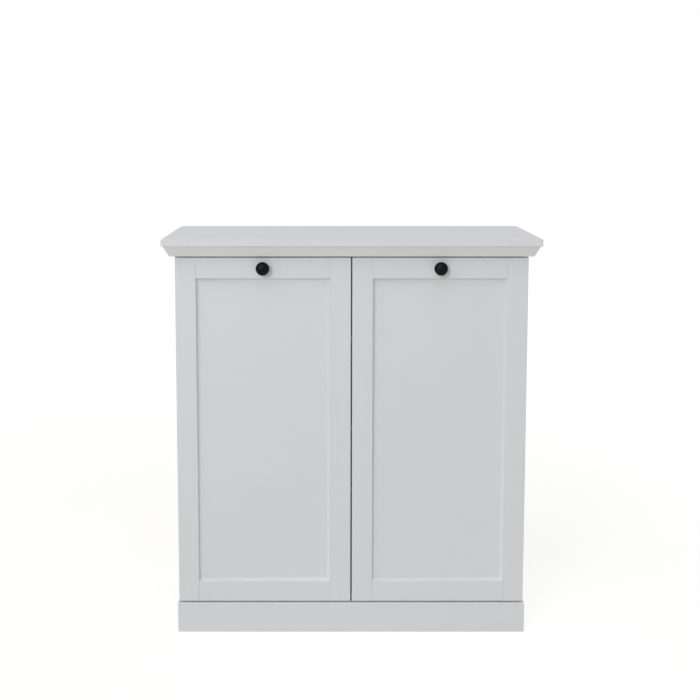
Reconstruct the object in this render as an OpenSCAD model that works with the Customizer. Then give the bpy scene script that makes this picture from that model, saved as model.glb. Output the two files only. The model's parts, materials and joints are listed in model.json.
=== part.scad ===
// White two-door laundry cabinet: two framed flaps, hinged at the foot, tilt out with a bag behind each.
// X runs to the right, Y to the back and Z up. The origin is on the floor under the worktop's centre.

/* [Overall] */
// Width over the two side panels
carcass_w = 800; // [740:10:1000]
// Depth of the carcass from its front edges to the back of the back panel
carcass_d = 352; // [330:2:450]
// Height from the floor to the top of the worktop
cabinet_h = 920; // [880:5:1100]

/* [Worktop and cornice] */
// Thickness of the worktop
top_t = 16; // [12:1:28]
// How far the worktop stands out past each side panel
top_side_over = 27; // [24:1:45]
// How far the worktop stands out past the front of the flaps
top_front_over = 28; // [27:1:45]
// Height of the cornice moulding under the worktop
cornice_h = 24; // [20:1:40]
// Step from the worktop's edge in to the top of the moulding
cornice_step = 4; // [2:0.5:8]
// How far the moulding slopes in from its top to its foot
cornice_run = 13; // [8:1:16]
// Radius of the moulding's rounded foot
cornice_nose_r = 3; // [1:0.5:5]

/* [Carcass] */
// Thickness of the sides, the partition and the bottom
board_t = 16; // [14:1:22]
// Thickness of the hardboard back panels
back_t = 3; // [3:0.5:6]
// Thickness of the two rails under the worktop
rail_t = 16; // [14:1:22]
// Height of the front rail
front_rail_h = 44; // [40:1:46]
// Height of the back rail
back_rail_h = 60; // [50:1:100]
// How far the partition stands back from the carcass front
partition_setback = 10; // [4:1:20]

/* [Plinth] */
// Height of the plinth
plinth_h = 70; // [50:1:120]
// Thickness of the plinth boards
plinth_t = 16; // [14:1:22]
// How far the plinth stands out past each side panel
plinth_side_proud = 2.5; // [0:0.5:5]
// How far the plinth stands out past the front of the flaps
plinth_front_proud = 4; // [0:1:8]
// Side of the square glue blocks inside the plinth
plinth_block = 40; // [30:1:60]

/* [Flaps] */
// Thickness of the flap frames
flap_t = 18; // [16:1:22]
// Air between the back of a flap and the carcass front
flap_air = 2; // [1.5:0.5:4]
// Gap between the two flaps
flap_gap = 3.2; // [2:0.1:5]
// How far a flap's outer edge stands in from the side panel's face
flap_reveal = 0.4; // [0:0.1:2]
// Gap between the top of a flap and the cornice
flap_head_gap = 3; // [2:0.5:5]
// Gap between the bottom of a flap and the plinth
flap_foot_gap = 3; // [2.5:0.5:5]
// Width of the upright stiles
stile_w = 47; // [44:1:70]
// Width of the level rails of a flap
flap_rail_w = 48; // [46:1:80]
// Thickness of the panel in the frame
panel_t = 4; // [3:0.5:5]
// Depth of the panel behind the face of the frame
panel_recess = 8; // [4:0.5:9]
// Depth of the groove that holds the panel and the rails' tongues
groove_d = 6; // [4:0.5:6.5]

/* [Knobs] */
// Diameter of the knob's head
knob_d = 30.6; // [24:0.2:40]
// How far the knob stands out of the flap
knob_h = 25; // [20:0.5:27]
// Diameter of the knob's neck
knob_neck_d = 13; // [10:0.5:18]
// Diameter of the screw that holds the knob
knob_screw_d = 4; // [3:0.5:5]

/* [Cup hinges] */
// How far a flap tips out
tilt = 30; // [15:1:32]
// Turning axis behind the face of the flap
axis_in = 4; // [3:0.5:5]
// Turning axis above the bottom edge of the flap
axis_up = 5; // [4:0.5:6]
// Diameter of the hinge cup
cup_d = 35; // [26:1:35]
// Depth of the hinge cup
cup_depth = 11.5; // [11:0.5:13]
// Wood left between the cup and the bottom edge of the flap
cup_edge = 4; // [3:0.5:4.5]
// Distance from a flap's side edge to the middle of a cup
hinge_inset = 80; // [76:1:140]
// Distance from the turning axis to the pin in the arm
arm_pin_r = 40; // [38:0.5:42]
// Distance from the turning axis to the pin in the cup
cup_pin_r = 15.6; // [15:0.2:16.4]
// Height angle of both pins from the axis at half the tilt
pin_angle = 60; // [57:1:62]
// Width of the hinge arm
arm_w = 14; // [12:0.5:18]

/* [Stays] */
// Height of a stay's pivot above the turning axis
stay_up = 298; // [240:2:360]
// Distance of a stay's pivot behind the flap
stay_back = 19; // [16:1:26]
// Angle at the turning axis between a stay's pivot and its stud
stay_lead = 8; // [7:0.5:12]
// Width of the slotted bar
stay_w = 14; // [12:1:20]
// Thickness of the slotted bar
stay_t = 2; // [1.5:0.5:3]
// Air between the bar and the board beside it
stay_air = 5; // [4:0.5:8]
// Diameter of the stud that runs in the slot
stud_d = 6; // [5:0.5:7]

/* [Bags] */
// Diameter of the bag frame's bent wire
wire_d = 5; // [4.5:0.5:6]
// Diameter of the bar welded across the front of the bag frame
bar_d = 4; // [3:0.5:4]
// Height of the bag frame above the bottom edge of the flap
bag_rim_up = 647; // [500:1:700]
// Height of the bag's floor above the bottom edge of the flap
bag_floor_up = 62; // [55:1:120]
// Distance from the bag to the board at each side of it
bag_side_room = 24; // [22:1:60]
// Distance from the back of the flap to the frame's front bar
bag_front_room = 26; // [22:1:60]
// Distance from the frame's back run to the back panel
bag_back_room = 92; // [60:1:140]
// Radius of the frame's back corners
bag_corner_r = 25; // [15:1:60]
// Thickness of the bag's cloth
cloth_t = 1.5; // [1:0.5:2.5]

/* [Fittings] */
// Diameter of the wood screws
screw_d = 3.5; // [3:0.5:4]
// Length of the wood screws
screw_l = 14; // [10:1:14]
// Diameter of the wooden dowels
dowel_d = 8; // [6:1:8]
// Diameter of the cam discs
cam_d = 15; // [12:1:16]
// Diameter of the magnets in the front rail
magnet_d = 10; // [8:1:10]
// Distance between the two wall fixings
wall_pitch = 560; // [300:10:600]
// Diameter of the wall fixing holes
wall_hole_d = 6; // [5:0.5:8]
// Height of a spacer on the partition's front edge
spacer_h = 14; // [8:1:20]

/* [Hidden] */
$fn = 48;
left = -1;
right = 1;

// Clearances: a fixed fit, a running pin, a sliding fit and the air round a part that only passes by
fit = 0.05;
pin_fit = 0.05;
slide = 0.3;
end_air = 0.5;

// Lines across the width
side_out = carcass_w / 2;
side_in = side_out - board_t;
part_face = board_t / 2;
flap_w = side_out - flap_reveal - flap_gap / 2;
flap_cx = flap_gap / 2 + flap_w / 2;
bay_cx = (part_face + side_in) / 2;
bay_half = (side_in - part_face) / 2;

// Lines through the depth
slab_d = carcass_d + flap_air + flap_t + top_front_over;
back_y = slab_d / 2;
board_back = back_y - back_t;
front_y = back_y - carcass_d;
flap_back = front_y - flap_air;
flap_front = flap_back - flap_t;
rail_back_y = board_back - rail_t;
partition_front = front_y + partition_setback;

// Lines up the height
slab_z = cabinet_h - top_t;
cornice_z = slab_z - cornice_h;
floor_z = plinth_h + board_t;
flap_z = plinth_h + flap_foot_gap;
flap_top = cornice_z - flap_head_gap;
flap_h = flap_top - flap_z;
knob_z = flap_top - flap_rail_w / 2;

// Turning axis of both flaps, as [y, z]
axis = [flap_front + axis_in, flap_z + axis_up];
function about(r, a) = axis + r * [cos(a), sin(a)];

// Cup hinge: pins, cup and plate
arm_pin = about(arm_pin_r, pin_angle);
cup_pin = about(cup_pin_r, pin_angle - tilt / 2);
link_span = norm(arm_pin - cup_pin);
link_span_mid = arm_pin_r - cup_pin_r;
link_l = (link_span + link_span_mid) / 2;
link_angle = atan2(cup_pin[1] - arm_pin[1], cup_pin[0] - arm_pin[0]);
hinge_pin_r = 1.5;
link_eye_r = 4;
link_play = (link_span - link_span_mid) / 2 + 0.2;
link_w = arm_w - 4;
cup_wall = 1;
cup_rim_t = 1.2;
cup_rim_r = cup_d / 2 + 1.5;
cup_z = flap_z + cup_edge + cup_d / 2;
cup_screw_pitch = cup_d + 13;
cup_screw_up = 6;
cup_wing_h = 13;
hinge_xs = [flap_cx - flap_w / 2 + hinge_inset, flap_cx + flap_w / 2 - hinge_inset];
plate_inset = 37;
plate_y = front_y + plate_inset;
plate_t = 3;
plate_l = 52;
plate_screw_pitch = 32;
plate_wing = 12;
arm_back = plate_y + plate_l / 2;
arm_h = 8;
arm_flat = 4;
arm_toe = 20;
arm_nose_r = link_eye_r + 0.2;
arm_slot_l = link_eye_r + 2;

// Slotted stays: pivot on the flap, stud on the board, both at one distance from the turning axis
stay_pivot = [flap_back + stay_back, axis[1] + stay_up];
stay_r = norm(stay_pivot - axis);
stay_a = atan2(stay_pivot[1] - axis[1], stay_pivot[0] - axis[0]);
stay_stud = about(stay_r, stay_a - stay_lead);
stay_reach_0 = norm(stay_stud - stay_pivot);
stay_reach_1 = 2 * stay_r * sin((stay_lead + tilt) / 2);
stay_slope = atan2(stay_stud[1] - stay_pivot[1], stay_stud[0] - stay_pivot[0]);
stay_x = bay_half - stay_air - stay_t;
stay_pin_r = 2.5;
stay_head_r = 4.5;
stay_end = 9;
slot_r = stud_d / 2 + 0.25;
slot_air = 0.4;
stud_head_r = stud_d / 2 + 3;
stud_head_t = 1.5;
stud_thread_r = 2.5;
stud_thread_l = 7;
bracket_t = 2;
bracket_flange = 20;
bracket_h = 36;
bracket_ear_h = 20;
bracket_x = stay_x - slide - bracket_t;
bracket_screw_x = bracket_x - bracket_flange / 2 + bracket_t;
bracket_screw_dz = 13;

// Bag frame, its clips and the bag
wire_r = wire_d / 2;
rim_z = flap_z + bag_rim_up;
bag_z = flap_z + bag_floor_up;
frame_x = bay_half - bag_side_room;
frame_front = flap_back + bag_front_room;
frame_back = board_back - bag_back_room;
leg_y = flap_back + 8;
leg_bend_r = 12;
leg_l = 80;
clip_w = 20;
clip_d = 12;
clip_h = 14;
clip_ear_t = 3;
clip_block_w = 10;
clip_screw_x = 10;
clip_drop_top = 30;
clip_drop_low = 70;
clip_drops = [clip_drop_top, clip_drop_low];
hem_r = wire_r + slide + cloth_t;

// Screws, dowels, cams and nails
screw_r = screw_d / 2;
screw_head_r = screw_r + 1.6;
dowel_r = dowel_d / 2;
dowel_l = 30;
dowel_step = 32;
cam_r = cam_d / 2;
cam_l = 12.4;
cam_back = 24;
cam_bolt_r = 3.5;
cam_thread_r = 2.5;
cam_thread_l = 11;
joint_inset = 60;
top_inset_front = 92;
top_inset_back = 107;
joint_ys = [front_y + joint_inset, board_back - joint_inset];
top_ys = [front_y + top_inset_front, board_back - top_inset_back];
nail_r = 0.8;
nail_head_r = 1.6;
nail_head_t = 0.8;
nail_l = 14;
nail_pitch = 130;
nail_edge = 12;
nail_side = 40;
nail_rows = floor((slab_z - plinth_h - 2 * nail_edge) / nail_pitch);
nail_row_step = (slab_z - plinth_h - 2 * nail_edge) / nail_rows;
nail_columns = floor((side_in - part_face - 2 * nail_side) / nail_pitch);
nail_column_step = (side_in - part_face - 2 * nail_side) / nail_columns;

// Catch, spacers and wall plates
magnet_l = 12;
magnet_proud = 0.5;
magnet_drop = 8.5;
magnet_z = flap_top - magnet_drop;
strike_w = 40;
strike_h = 14;
strike_t = flap_air - magnet_proud - slide;
strike_screw_x = 14;
spacer_w = 10;
spacer_up = [266, 411, 618];
spacer_peg_r = 2.5;
spacer_peg_l = 10;
wall_drop = 36;
wall_z = slab_z - wall_drop;
wall_plate_w = 56;
wall_plate_h = 26;
wall_plate_t = 2;
wall_screw_x = 20;

// Finishes
white = [0.80, 0.81, 0.82];
inner_white = [0.76, 0.77, 0.78];
steel = [0.62, 0.63, 0.65];
iron_black = [0.13, 0.14, 0.15];
beech = [0.78, 0.62, 0.42];
zinc = [0.70, 0.70, 0.66];
clear_grey = [0.86, 0.86, 0.84];
linen = [0.86, 0.83, 0.76];

// Solid box between two opposite corners
module block(lo, hi) {
    translate(lo)
        cube(hi - lo);
}

// Draws a part for the right side as it is and for the left side mirrored
module on_side(side) {
    mirror([side < 0 ? 1 : 0, 0, 0])
        children();
}

// Draws a part at both ends of the right bay, mirrored about its middle
module both_ends() {
    for (turn = [0, 1])
        translate([bay_cx, 0, 0])
            mirror([turn, 0, 0])
                children();
}

// Outline in Y and Z, drawn out along X between two planes
module along_x(x0, x1) {
    translate([x0, 0, 0])
        rotate([90, 0, 90])
            linear_extrude(x1 - x0)
                children();
}

// Round rod along X between two planes, centred on a point given as [y, z]
module rod_x(x0, x1, at, r) {
    translate([x0, at[0], at[1]])
        rotate([0, 90, 0])
            cylinder(r = r, h = x1 - x0);
}

// Round rod along Y between two planes
module rod_y(x, y0, y1, z, r) {
    translate([x, y0, z])
        rotate([-90, 0, 0])
            cylinder(r = r, h = y1 - y0);
}

// Round rod along Z between two planes
module rod_z(x, y, z0, z1, r) {
    translate([x, y, z0])
        cylinder(r = r, h = z1 - z0);
}

// Countersunk wood screw with its head's face at the origin, pointing down; extra grows it into its hole
module screw(extra = 0) {
    r = screw_r + extra;
    head_r = screw_head_r + extra;
    difference() {
        union() {
            translate([0, 0, -screw_l - 4 * extra])
                cylinder(r = r, h = screw_l + 4 * extra);
            translate([0, 0, -(head_r - r)])
                cylinder(r1 = r, r2 = head_r, h = head_r - r);
        }
        if (extra == 0)
            for (turn = [0, 90])
                rotate([0, 0, turn])
                    translate([-1.5, -0.35, -1])
                        cube([3, 0.7, 1.1]);
    }
}

// Screw driven into the flap from behind, and one driven back into the carcass from inside
module screw_forward(x, y, z, extra = 0) {
    translate([x, y, z])
        rotate([-90, 0, 0])
            screw(extra);
}

module screw_backward(x, y, z, extra = 0) {
    translate([x, y, z])
        rotate([90, 0, 0])
            screw(extra);
}

// Where the dowels lie: across the joints of the bottom and the rails, and upright under the worktop,
// the partition and the side panels
side_mid = side_out - board_t / 2;
front_rail_mid = [front_y + rail_t / 2, slab_z - front_rail_h / 2];
back_rail_mid = [rail_back_y + rail_t / 2, slab_z - back_rail_h / 2];
bottom_mids = [for (y = joint_ys) [y + dowel_step * (y < 0 ? 1 : -1), plinth_h + board_t / 2]];
function dowels_x() = [
    for (s = [left, right])
        for (at = concat(bottom_mids, [front_rail_mid, back_rail_mid]))
            [s * (side_in - 5), at[0], at[1]]
];
function dowels_z() = concat(
    [for (x = [-side_mid, 0, side_mid]) for (y = top_ys) [x, y + dowel_step, slab_z - 5]],
    [for (y = top_ys) [0, y, floor_z + 5]],
    [for (s = [left, right]) for (y = top_ys) [s * (side_mid + 1), y, plinth_h - 3]]
);

module dowels(extra = 0) {
    half = dowel_l / 2 + 4 * extra;
    for (at = dowels_x())
        rod_x(at[0] - half, at[0] + half, [at[1], at[2]], dowel_r + extra);
    for (at = dowels_z())
        rod_z(at[0], at[1], at[2] - half, at[2] + half, dowel_r + extra);
}

// Cam joints of the bottom panel with the sides: disc from below, bolt level
module bottom_joint(side, y, disc = false, bolt = false, extra = 0) {
    z = plinth_h + board_t / 2;
    x = side_in - cam_back;
    on_side(side) {
        if (disc)
            rod_z(x, y, plinth_h, plinth_h + cam_l + extra, cam_r + extra);
        if (bolt) {
            rod_x(x, side_in, [y, z], cam_bolt_r + extra);
            rod_x(side_in, side_in + cam_thread_l + extra, [y, z], cam_thread_r + extra);
        }
    }
}

// Cam joints of an upright board with the worktop: disc from its inner face, bolt upright
module top_joint(x, face_x, y, disc = false, bolt = false, extra = 0) {
    z = slab_z - cam_back;
    inward = face_x < x ? 1 : -1;
    if (disc)
        rod_x(min(face_x, face_x + inward * (cam_l + extra)), max(face_x, face_x + inward * (cam_l + extra)),
            [y, z], cam_r + extra);
    if (bolt) {
        rod_z(x, y, z, slab_z, cam_bolt_r + extra);
        rod_z(x, y, slab_z, slab_z + cam_thread_l + extra, cam_thread_r + extra);
    }
}

module all_joints(disc = false, bolt = false, extra = 0) {
    for (y = joint_ys)
        for (side = [left, right])
            bottom_joint(side, y, disc, bolt, extra);
    for (y = top_ys) {
        for (side = [left, right])
            top_joint(side * (side_out - board_t / 2), side * side_in, y, disc, bolt, extra);
        top_joint(0, part_face, y, disc, bolt, extra);
    }
}

// Nails of the back panels, as [x, z]: down both long edges and along the head and the foot of each
function nails() = concat(
    [for (x = [part_face / 2, side_mid])
        for (i = [0:nail_rows]) [x, plinth_h + nail_edge + i * nail_row_step]],
    [for (z = [plinth_h + board_t / 2, slab_z - back_rail_h / 2])
        for (i = [0:nail_columns]) [part_face + nail_side + i * nail_column_step, z]]
);

module back_nail_set(extra = 0) {
    for (side = [left, right])
        on_side(side)
            for (at = nails()) {
                rod_y(at[0], back_y - nail_l - extra, back_y, at[1], nail_r + extra);
                rod_y(at[0], back_y - nail_head_t - extra, back_y, at[1], nail_head_r + extra);
            }
}

// Wall fixing holes through the plates, the back rail and the back panels
module wall_holes() {
    for (side = [left, right])
        rod_y(side * wall_pitch / 2, rail_back_y - 10, back_y + 10, wall_z, wall_hole_d / 2);
}

module wall_screws(extra = 0) {
    for (side = [left, right])
        for (dx = [-wall_screw_x, wall_screw_x])
            screw_backward(side * wall_pitch / 2 + dx, rail_back_y - wall_plate_t, wall_z, extra);
}

// Worktop
module top_panel() {
    color(white)
        difference() {
            block([-side_out - top_side_over, -back_y, slab_z], [side_out + top_side_over, back_y, cabinet_h]);
            all_joints(bolt = true, extra = fit);
            dowels(fit);
        }
}

// Cornice: its cross-section stands out from a wall line, sloping in to a rounded foot
module cornice_section(reach) {
    foot = reach - cornice_run;
    intersection() {
        polygon([[0, 0], [foot, 0], [reach, cornice_h], [0, cornice_h]]);
        union() {
            translate([0, cornice_nose_r])
                square([reach, cornice_h]);
            square([foot - cornice_nose_r * 0.6, cornice_h]);
            translate([foot - cornice_nose_r * 0.6, cornice_nose_r])
                circle(cornice_nose_r);
        }
    }
}

cornice_side_reach = top_side_over - cornice_step;
cornice_front_reach = front_y + back_y - cornice_step;

module cornice_front() {
    corner = side_out + cornice_side_reach;
    color(white)
        intersection() {
            translate([-corner, front_y, cornice_z])
                rotate([90, 0, 90])
                    linear_extrude(2 * corner)
                        mirror([1, 0])
                            cornice_section(cornice_front_reach);
            translate([0, 0, cornice_z])
                linear_extrude(cornice_h)
                    polygon([
                        [-corner, front_y - cornice_front_reach],
                        [corner, front_y - cornice_front_reach],
                        [side_out, front_y - cornice_front_reach + cornice_side_reach],
                        [side_out, front_y],
                        [-side_out, front_y],
                        [-side_out, front_y - cornice_front_reach + cornice_side_reach]
                    ]);
        }
}

module cornice_end(side) {
    corner = side_out + cornice_side_reach;
    mitre_y = front_y - cornice_front_reach;
    color(white)
        on_side(side)
            intersection() {
                translate([side_out, back_y, cornice_z])
                    rotate([90, 0, 0])
                        linear_extrude(back_y - mitre_y)
                            cornice_section(cornice_side_reach);
                translate([0, 0, cornice_z])
                    linear_extrude(cornice_h)
                        polygon([
                            [side_out, mitre_y + cornice_side_reach],
                            [corner, mitre_y],
                            [corner, back_y],
                            [side_out, back_y]
                        ]);
            }
}

// Rails under the worktop
module top_rail_front() {
    color(inner_white)
        difference() {
            block([-side_in, front_y, slab_z - front_rail_h], [side_in, front_y + rail_t, slab_z]);
            dowels(fit);
            magnet_set(fit);
        }
}

module top_rail_back() {
    color(inner_white)
        difference() {
            block([-side_in, rail_back_y, slab_z - back_rail_h], [side_in, board_back, slab_z]);
            dowels(fit);
            wall_holes();
            wall_screws(fit);
            back_nail_set(fit);
        }
}

// Sides, partition and bottom
module side_panel(side) {
    color(white)
        difference() {
            on_side(side)
                block([side_in, front_y, plinth_h], [side_out, board_back, slab_z]);
            all_joints(disc = true, bolt = true, extra = fit);
            dowels(fit);
            back_nail_set(fit);
            stud_threads(side, fit);
        }
}

module centre_partition() {
    color(inner_white)
        difference() {
            block([-part_face, partition_front, floor_z], [part_face, board_back, slab_z]);
            block([-board_t, front_y, slab_z - front_rail_h], [board_t, front_y + rail_t, slab_z]);
            block([-board_t, rail_back_y, slab_z - back_rail_h], [board_t, back_y, slab_z]);
            all_joints(disc = true, bolt = true, extra = fit);
            dowels(fit);
            back_nail_set(fit);
            stud_threads(left, fit);
            stud_threads(right, fit);
            spacer_pegs(fit);
        }
}

module bottom_panel() {
    color(inner_white)
        difference() {
            block([-side_in, front_y, plinth_h], [side_in, board_back, floor_z]);
            all_joints(disc = true, bolt = true, extra = fit);
            dowels(fit);
            back_nail_set(fit);
            for (side = [left, right])
                on_side(side)
                    plate_screws(fit);
        }
}

module back_panel(side) {
    color(white)
        difference() {
            on_side(side)
                block([slide / 2, board_back, plinth_h], [side_out, back_y, slab_z]);
            back_nail_set(fit);
            wall_holes();
        }
}

// Plinth
plinth_x = side_out + plinth_side_proud;
plinth_y = flap_front - plinth_front_proud;

module plinth_front() {
    color(white)
        block([-plinth_x, plinth_y, 0], [plinth_x, plinth_y + plinth_t, plinth_h]);
}

module plinth_end(side) {
    color(white)
        difference() {
            on_side(side)
                block([plinth_x - plinth_t, plinth_y + plinth_t, 0], [plinth_x, back_y, plinth_h]);
            dowels(fit);
        }
}

module plinth_back() {
    color(inner_white)
        block([-plinth_x + plinth_t, back_y - plinth_t, 0], [plinth_x - plinth_t, back_y, plinth_h]);
}

// Glue blocks in the plinth's corners and at the middle of its front and back
module plinth_blocks() {
    reach = plinth_x - plinth_t;
    color(beech)
        for (y = [plinth_y + plinth_t, back_y - plinth_t - plinth_block])
            for (x = [-reach, -plinth_block / 2, reach - plinth_block])
                translate([x, y, 0])
                    cube([plinth_block, plinth_block, plinth_h]);
}

// Knock-down fittings
module cam_discs() {
    color(zinc)
        difference() {
            all_joints(disc = true);
            all_joints(bolt = true, extra = fit);
        }
}

module cam_bolts() {
    color(steel)
        all_joints(bolt = true);
}

module wooden_dowels() {
    color(beech)
        dowels();
}

module back_nails() {
    color(steel)
        back_nail_set();
}

module wall_plates() {
    color(steel)
        difference() {
            for (side = [left, right])
                translate([side * wall_pitch / 2, rail_back_y - wall_plate_t / 2, wall_z])
                    cube([wall_plate_w, wall_plate_t, wall_plate_h], center = true);
            wall_holes();
            wall_screws(fit);
        }
}

module cabinet_screws() {
    color(steel) {
        wall_screws();
        for (side = [left, right])
            on_side(side)
                plate_screws();
    }
}

// Drill-in magnets that hold the flaps shut
module magnet_set(extra = 0) {
    for (side = [left, right])
        rod_y(side * flap_cx, front_y - magnet_proud, front_y - magnet_proud + magnet_l + extra, magnet_z,
            magnet_d / 2 + extra);
}

module magnets() {
    color(zinc)
        magnet_set();
}

// Spacers on the partition's front edge, which both flaps close against
module spacer_pegs(extra = 0) {
    for (up = spacer_up)
        rod_y(0, partition_front - 1, partition_front + spacer_peg_l + extra, plinth_h + up,
            spacer_peg_r + extra);
}

module gap_spacers() {
    color(clear_grey) {
        for (up = spacer_up)
            block([-spacer_w / 2, flap_back + slide, plinth_h + up - spacer_h / 2],
                [spacer_w / 2, partition_front, plinth_h + up + spacer_h / 2]);
        spacer_pegs();
    }
}

// Studs on the boards, one for each stay, with a thread in the board and a head past the bar
module stud_threads(side, extra = 0) {
    on_side(side)
        both_ends()
            rod_x(bay_half - extra, bay_half + stud_thread_l + extra, stay_stud, stud_thread_r + extra);
}

module stay_studs() {
    color(steel)
        for (side = [left, right]) {
            stud_threads(side);
            on_side(side)
                both_ends() {
                    rod_x(stay_x + stay_t + slide, bay_half, stay_stud, stud_head_r);
                    rod_x(stay_x - slide - stud_head_t, bay_half, stay_stud, stud_d / 2);
                    rod_x(stay_x - slide - stud_head_t, stay_x - slide, stay_stud, stud_head_r);
                }
        }
}

// Cup hinges, carcass side: plate screwed to the bottom panel, with the arm on it
module plate_screws(extra = 0) {
    for (x = hinge_xs)
        for (dx = [-plate_screw_pitch / 2, plate_screw_pitch / 2])
            translate([x + dx, plate_y, floor_z + plate_t])
                screw(extra);
}

module hinge_plates() {
    color(steel)
        for (side = [left, right])
            on_side(side)
                difference() {
                    for (x = hinge_xs) {
                        wing = plate_screw_pitch / 2 + plate_wing / 2;
                        block([x - wing, plate_y - plate_wing / 2, floor_z],
                            [x + wing, plate_y + plate_wing / 2, floor_z + plate_t]);
                        block([x - arm_w / 2, plate_y - plate_l / 2, floor_z],
                            [x + arm_w / 2, arm_back, floor_z + plate_t]);
                    }
                    plate_screws(fit);
                }
}

module hinge_arm_side() {
    z = floor_z + plate_t;
    translate(arm_pin)
        circle(arm_nose_r);
    polygon([
        [arm_back, z],
        [arm_back, z + arm_h],
        [plate_y - arm_flat, z + arm_h],
        arm_pin + arm_nose_r * [cos(69), sin(69)],
        arm_pin + arm_nose_r * [cos(201), sin(201)],
        [plate_y - arm_toe, z]
    ]);
}

module hinge_arms() {
    color(steel)
        for (side = [left, right])
            on_side(side)
                for (x = hinge_xs) {
                    difference() {
                        along_x(x - arm_w / 2, x + arm_w / 2)
                            hinge_arm_side();
                        block([x - link_w / 2 - slide, arm_pin[0] - arm_toe, floor_z],
                            [x + link_w / 2 + slide, arm_pin[0] + arm_slot_l, arm_pin[1] + arm_h]);
                    }
                    rod_x(x - arm_w / 2 + end_air, x + arm_w / 2 - end_air, arm_pin, hinge_pin_r);
                }
}

// Cup hinges, link between arm and cup: a running bore at the arm and a loose eye in the cup
module hinge_links(side) {
    color(steel)
        on_side(side)
            for (x = hinge_xs)
                along_x(x - link_w / 2, x + link_w / 2)
                    translate(arm_pin)
                        rotate(link_angle)
                            difference() {
                                union() {
                                    circle(link_eye_r);
                                    translate([link_l, 0])
                                        circle(link_eye_r);
                                    translate([0, -link_eye_r * 0.7])
                                        square([link_l, link_eye_r * 1.4]);
                                }
                                circle(hinge_pin_r + pin_fit);
                                translate([link_l, 0])
                                    circle(hinge_pin_r + link_play);
                            }
}

// Cup hinges, flap side: pressed cup with a rim, two wings and a cross pin
module cup_screws(extra = 0) {
    for (x = hinge_xs)
        for (dx = [-cup_screw_pitch / 2, cup_screw_pitch / 2])
            screw_forward(x + dx, flap_back + cup_rim_t, cup_z + cup_screw_up, extra);
}

module cup_bores() {
    for (x = hinge_xs)
        rod_y(x, flap_back - cup_depth - fit, flap_back + 1, cup_z, cup_d / 2 + fit);
}

module hinge_cups(side) {
    color(steel)
        on_side(side) {
            difference() {
                for (x = hinge_xs) {
                    wing = cup_screw_pitch / 2 + 6;
                    rod_y(x, flap_back - cup_depth, flap_back, cup_z, cup_d / 2);
                    rod_y(x, flap_back, flap_back + cup_rim_t, cup_z, cup_rim_r);
                    block([x - wing, flap_back, cup_z + cup_screw_up - cup_wing_h / 2],
                        [x + wing, flap_back + cup_rim_t, cup_z + cup_screw_up + cup_wing_h / 2]);
                }
                for (x = hinge_xs)
                    rod_y(x, flap_back - cup_depth + cup_wall, flap_back + 5, cup_z, cup_d / 2 - cup_wall);
                cup_screws(fit);
            }
            for (x = hinge_xs)
                intersection() {
                    rod_x(x - cup_d / 2, x + cup_d / 2, cup_pin, hinge_pin_r);
                    rod_y(x, flap_back - cup_depth, flap_back, cup_z, cup_d / 2 - cup_wall / 2);
                }
        }
}

// Flap frame: stiles over the full height, rails tongued between them, and a groove for the panel
groove_y = flap_front + panel_recess;
panel_fit = 0.1;

module groove(x0, x1, z0, z1) {
    block([x0, groove_y - panel_fit, z0], [x1, groove_y + panel_t + panel_fit, z1]);
}

module stile(side, outer) {
    x0 = flap_cx + (outer ? flap_w / 2 - stile_w : -flap_w / 2);
    edge = flap_cx + (outer ? 1 : -1) * (flap_w / 2 - stile_w);
    color(white)
        on_side(side)
            difference() {
                block([x0, flap_front, flap_z], [x0 + stile_w, flap_back, flap_top]);
                if (outer)
                    groove(edge - 1, edge + groove_d, flap_z - 1, flap_top + 1);
                else
                    groove(edge - groove_d, edge + 1, flap_z - 1, flap_top + 1);
                bracket_screws(fit);
                clip_screws(fit);
            }
}

module flap_rail(z0, groove_z) {
    half = flap_w / 2 - stile_w;
    tongue = groove_d - end_air;
    difference() {
        union() {
            block([flap_cx - half, flap_front, z0], [flap_cx + half, flap_back, z0 + flap_rail_w]);
            block([flap_cx - half - tongue, groove_y, z0],
                [flap_cx + half + tongue, groove_y + panel_t, z0 + flap_rail_w]);
        }
        groove(flap_cx - half - groove_d - 1, flap_cx + half + groove_d + 1, groove_z, groove_z + groove_d + 1);
    }
}

module rail_top(side) {
    z0 = flap_top - flap_rail_w;
    color(white)
        on_side(side)
            difference() {
                flap_rail(z0, z0 - 1);
                rod_y(flap_cx, flap_front - 1, flap_back + 1, knob_z, knob_screw_d / 2 + 0.5);
                strike_screws(fit);
            }
}

module rail_bottom(side) {
    color(white)
        on_side(side)
            difference() {
                flap_rail(flap_z, flap_z + flap_rail_w - groove_d);
                cup_bores();
                cup_screws(fit);
            }
}

module panel(side) {
    half = flap_w / 2 - stile_w + groove_d - end_air;
    inset = flap_rail_w - groove_d + end_air;
    color(white)
        on_side(side)
            block([flap_cx - half, groove_y, flap_z + inset],
                [flap_cx + half, groove_y + panel_t, flap_top - inset]);
}

// Knob: a domed head on a waisted neck, turned about the axis that points out of the flap
module knob(side) {
    r = knob_d / 2;
    neck = knob_neck_d / 2;
    rim_y = knob_h - 10;
    dome = [for (a = [0:7.5:90]) [r * cos(a), rim_y + 2.5 + (knob_h - rim_y - 2.5) * sin(a)]];
    waist = [for (a = [0:15:90]) [neck + (r - neck - 1) * (1 - cos(a)), 3 + (rim_y - 3) * sin(a)]];
    color(iron_black)
        on_side(side)
            translate([flap_cx, flap_front, knob_z])
                rotate([90, 0, 0])
                    difference() {
                        rotate_extrude()
                            polygon(concat([[0, 0], [neck + 2.5, 0], [neck + 2.5, 1.5], [neck, 3]], waist,
                                [[r - 0.4, rim_y + 0.6]], dome));
                        translate([0, 0, -1])
                            cylinder(r = knob_screw_d / 2 + fit, h = 13);
                    }
}

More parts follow.
